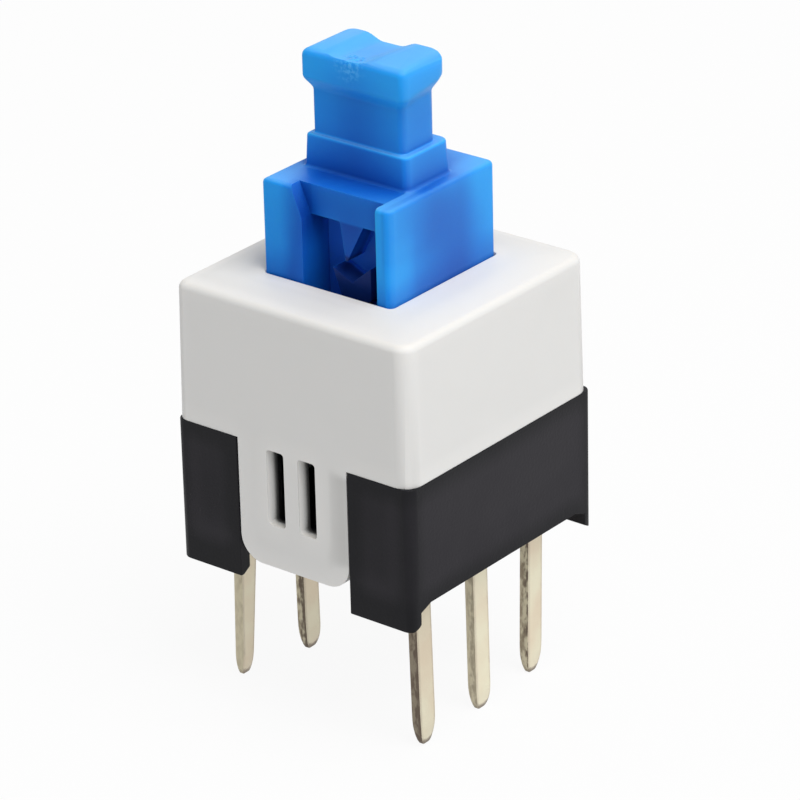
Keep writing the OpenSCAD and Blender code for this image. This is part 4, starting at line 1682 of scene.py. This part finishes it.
@dataclass
class ReturnSpring:
    """The coil spring under the button, built at one length, though the real one shortens as the button goes
    down.
    """

    joint: str = "button_press"
    wire: float = 0.28
    turns: int = 8
    closed_gap: float = 0.014
    steps: int = 24

    def lift(self, turn: float, rise: float) -> float:
        """Height of the wire above its start, with one closed turn at each end.

        Args:
            turn: how many turns lie below.
            rise: height of the whole coil's middle line.

        Returns:
            The height.
        """
        closed = self.wire + self.closed_gap
        if turn < 1:
            return closed * turn
        if turn > self.turns - 1:
            return rise - closed * (self.turns - turn)
        return closed + (rise - 2 * closed) * (turn - 1) / (self.turns - 2)

    def coil(self) -> Solid:
        """Bends the wire into the coil, in the CAD spring's box.

        Returns:
            The coil.
        """
        low, high = node_box("return_spring")
        middle, rise = (low + high) / 2, high.z - low.z - self.wire
        radius = (high.x - low.x - self.wire) / 2
        path = bpy.data.curves.new("coil_path", "CURVE")
        path.dimensions = "3D"
        path.bevel_depth = self.wire / 2
        path.bevel_resolution = 2
        path.use_fill_caps = True
        line = path.splines.new("POLY")
        count = self.turns * self.steps
        line.points.add(count)
        for k, point in enumerate(line.points):
            turn = k / self.steps
            height = low.z + self.wire / 2 + self.lift(turn, rise)
            angle = 2 * pi * turn
            point.co = (middle.x + radius * cos(angle), middle.y + radius * sin(angle), height, 1)
        helper = bpy.data.objects.new("coil_helper", path)
        mesh = bmesh.new()
        mesh.from_mesh(helper.to_mesh())
        helper.to_mesh_clear()
        bpy.data.objects.remove(helper)
        bmesh.ops.remove_doubles(mesh, verts=mesh.verts[:], dist=0.0005)
        bmesh.ops.recalc_face_normals(mesh, faces=mesh.faces[:])
        return Solid(mesh)

    def build(self, wardrobe: Wardrobe, joints: Sequence[dict]) -> bpy.types.Object:
        """Builds the spring, rides it on the housing and dresses it.

        Args:
            wardrobe: the finishes.
            joints: the record's joints; not used.

        Returns:
            The piece.
        """
        piece = self.coil().finish("return_spring_coil")
        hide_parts("return_spring")
        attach(piece, "housing")
        wardrobe.dress(piece, Finish.STEEL)
        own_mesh(piece)
        return piece


def dress_inner_parts(nodes: dict[str, bpy.types.Object], wardrobe: Wardrobe) -> None:
    """Gives the CAD parts inside the switch their materials.

    Args:
        nodes: the CAD nodes by name.
        wardrobe: the finishes.
    """
    finishes = {
        "latch_wire": Finish.STEEL,
        "moving_contact_left": Finish.BRONZE,
        "moving_contact_right": Finish.BRONZE,
    }
    for name, finish in finishes.items():
        node = nodes[name]
        for slot in node.material_slots:
            slot.material = wardrobe.materials[finish]
        LOG.info("dressed %s", name)


# ---------------------------------------------------------- stage and camera


@dataclass
class Studio:
    """Floor, lamps, surroundings and camera."""

    floor_half: float = 0.6
    floor_level: float = -0.0042
    floor_glow: float = 0.93
    floor_colour: Triple = (0.75, 0.75, 0.75)
    floor_roughness: float = 0.9
    sky: float = 0.42
    lens: float = 205.87
    camera_place: Triple = (70.445, -86.898, 56.021)
    azimuth: float = 38.82
    elevation: float = 24.85
    roll: float = -1.43

    def show_to_camera(self, build: NodeBuilder) -> bpy.types.NodeSocket:
        """Mask that is 1 for rays from the camera and for rays seen in gloss or through glass.

        Args:
            build: adds nodes to the material or the world.

        Returns:
            The mask.
        """
        path = build.add("ShaderNodeLightPath")
        seen = build.math("ADD", path.outputs["Is Camera Ray"], path.outputs["Is Glossy Ray"])
        seen = build.math("ADD", seen, path.outputs["Is Transmission Ray"])
        return build.math("MINIMUM", seen, 1.0)

    def build_floor(self) -> None:
        """Makes the white floor, which keeps the object's soft shadow."""
        mesh = bmesh.new()
        place = Matrix.Translation((0, 0, self.floor_level))
        bmesh.ops.create_grid(mesh, x_segments=1, y_segments=1, size=self.floor_half, matrix=place)
        data = bpy.data.meshes.new("floor")
        mesh.to_mesh(data)
        mesh.free()
        floor = bpy.data.objects.new("floor", data)
        bpy.context.scene.collection.objects.link(floor)
        material, build = new_material("pale_floor")
        tree = material.node_tree
        shader = tree.nodes["Principled BSDF"]
        shader.inputs["Base Color"].default_value = (*self.floor_colour, 1)
        shader.inputs["Roughness"].default_value = self.floor_roughness
        shader.inputs["Specular IOR Level"].default_value = 0.0
        glow = build.add("ShaderNodeEmission", {"Color": (1, 1, 1, 1), "Strength": 1.0})
        share = build.times(self.show_to_camera(build), self.floor_glow)
        mixed = build.add("ShaderNodeMixShader", {"0": share})
        tree.links.new(shader.outputs[0], mixed.inputs[1])
        tree.links.new(glow.outputs[0], mixed.inputs[2])
        tree.links.new(mixed.outputs[0], tree.nodes["Material Output"].inputs["Surface"])
        data.materials.append(material)

    def build_world(self) -> None:
        """White surroundings for the camera, and a plain soft sky for the light."""
        world = bpy.data.worlds.new("studio")
        bpy.context.scene.world = world
        world.use_nodes = True
        tree = world.node_tree
        build = NodeBuilder(tree)
        background = tree.nodes["Background"]
        background.inputs["Color"].default_value = (1, 1, 1, 1)
        strength = build.span(self.show_to_camera(build), 0, 1, self.sky, 1.0)
        tree.links.new(strength, background.inputs["Strength"])

    def lamp(self, name: str, place: Triple, size: float, level: float) -> None:
        """Adds a soft square lamp that points at the switch.

        Args:
            name: name of the lamp.
            place: its place in metres.
            size: side of the square in metres.
            level: how brightly it lights a surface that faces it, where 1 shows a colour as written.
        """
        data = bpy.data.lights.new(name, "AREA")
        data.shape = "SQUARE"
        data.size = size
        distance = Vector(place).length
        data.energy = level * pi * pi * distance * distance
        lamp = bpy.data.objects.new(name, data)
        lamp.location = place
        lamp.rotation_euler = (-Vector(place)).to_track_quat("-Z", "Y").to_euler()
        bpy.context.scene.collection.objects.link(lamp)

    def build_camera(self) -> None:
        """Places the camera and makes it the scene's."""
        data = bpy.data.cameras.new("camera")
        data.lens = self.lens
        data.sensor_width = 36
        data.clip_start, data.clip_end = 0.005, 5
        a, e, r = (radians(v) for v in (self.azimuth, self.elevation, self.roll))
        right = Vector((cos(a), sin(a), 0))
        back = Vector((sin(a) * cos(e), -cos(a) * cos(e), sin(e)))
        up = back.cross(right)
        axes = Matrix((cos(r) * right + sin(r) * up, cos(r) * up - sin(r) * right, back)).transposed()
        camera = bpy.data.objects.new("camera", data)
        camera.matrix_world = Matrix.Translation(Vector(self.camera_place) * MM) @ axes.to_4x4()
        bpy.context.scene.collection.objects.link(camera)
        bpy.context.scene.camera = camera

    def build(self) -> None:
        """Builds the whole studio."""
        bpy.context.scene.view_settings.view_transform = "Standard"
        self.build_floor()
        self.build_world()
        self.lamp("key", (0.17, -0.03, 0.34), 0.26, 0.88)
        self.build_camera()


def main() -> None:
    """Builds the switch, its stage, its lights and the camera."""
    logging.basicConfig(level=logging.INFO, format="%(name)s: %(message)s")
    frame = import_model()
    heights = Heights.from_frame()
    wardrobe = Wardrobe()
    pieces = [Base(heights).build(wardrobe), Cover(heights).build(wardrobe), Button(heights).build(wardrobe)]
    pieces += Terminals(heights).build(wardrobe)
    pieces.append(ReturnSpring().build(wardrobe, frame["record"]["behaviour"]["joints"]))
    for piece in pieces:
        LOG.info("built %s with %d faces", piece.name, len(piece.data.polygons))
    dress_inner_parts(frame["nodes"], wardrobe)
    Studio().build()


if __name__ == "__main__":
    main()
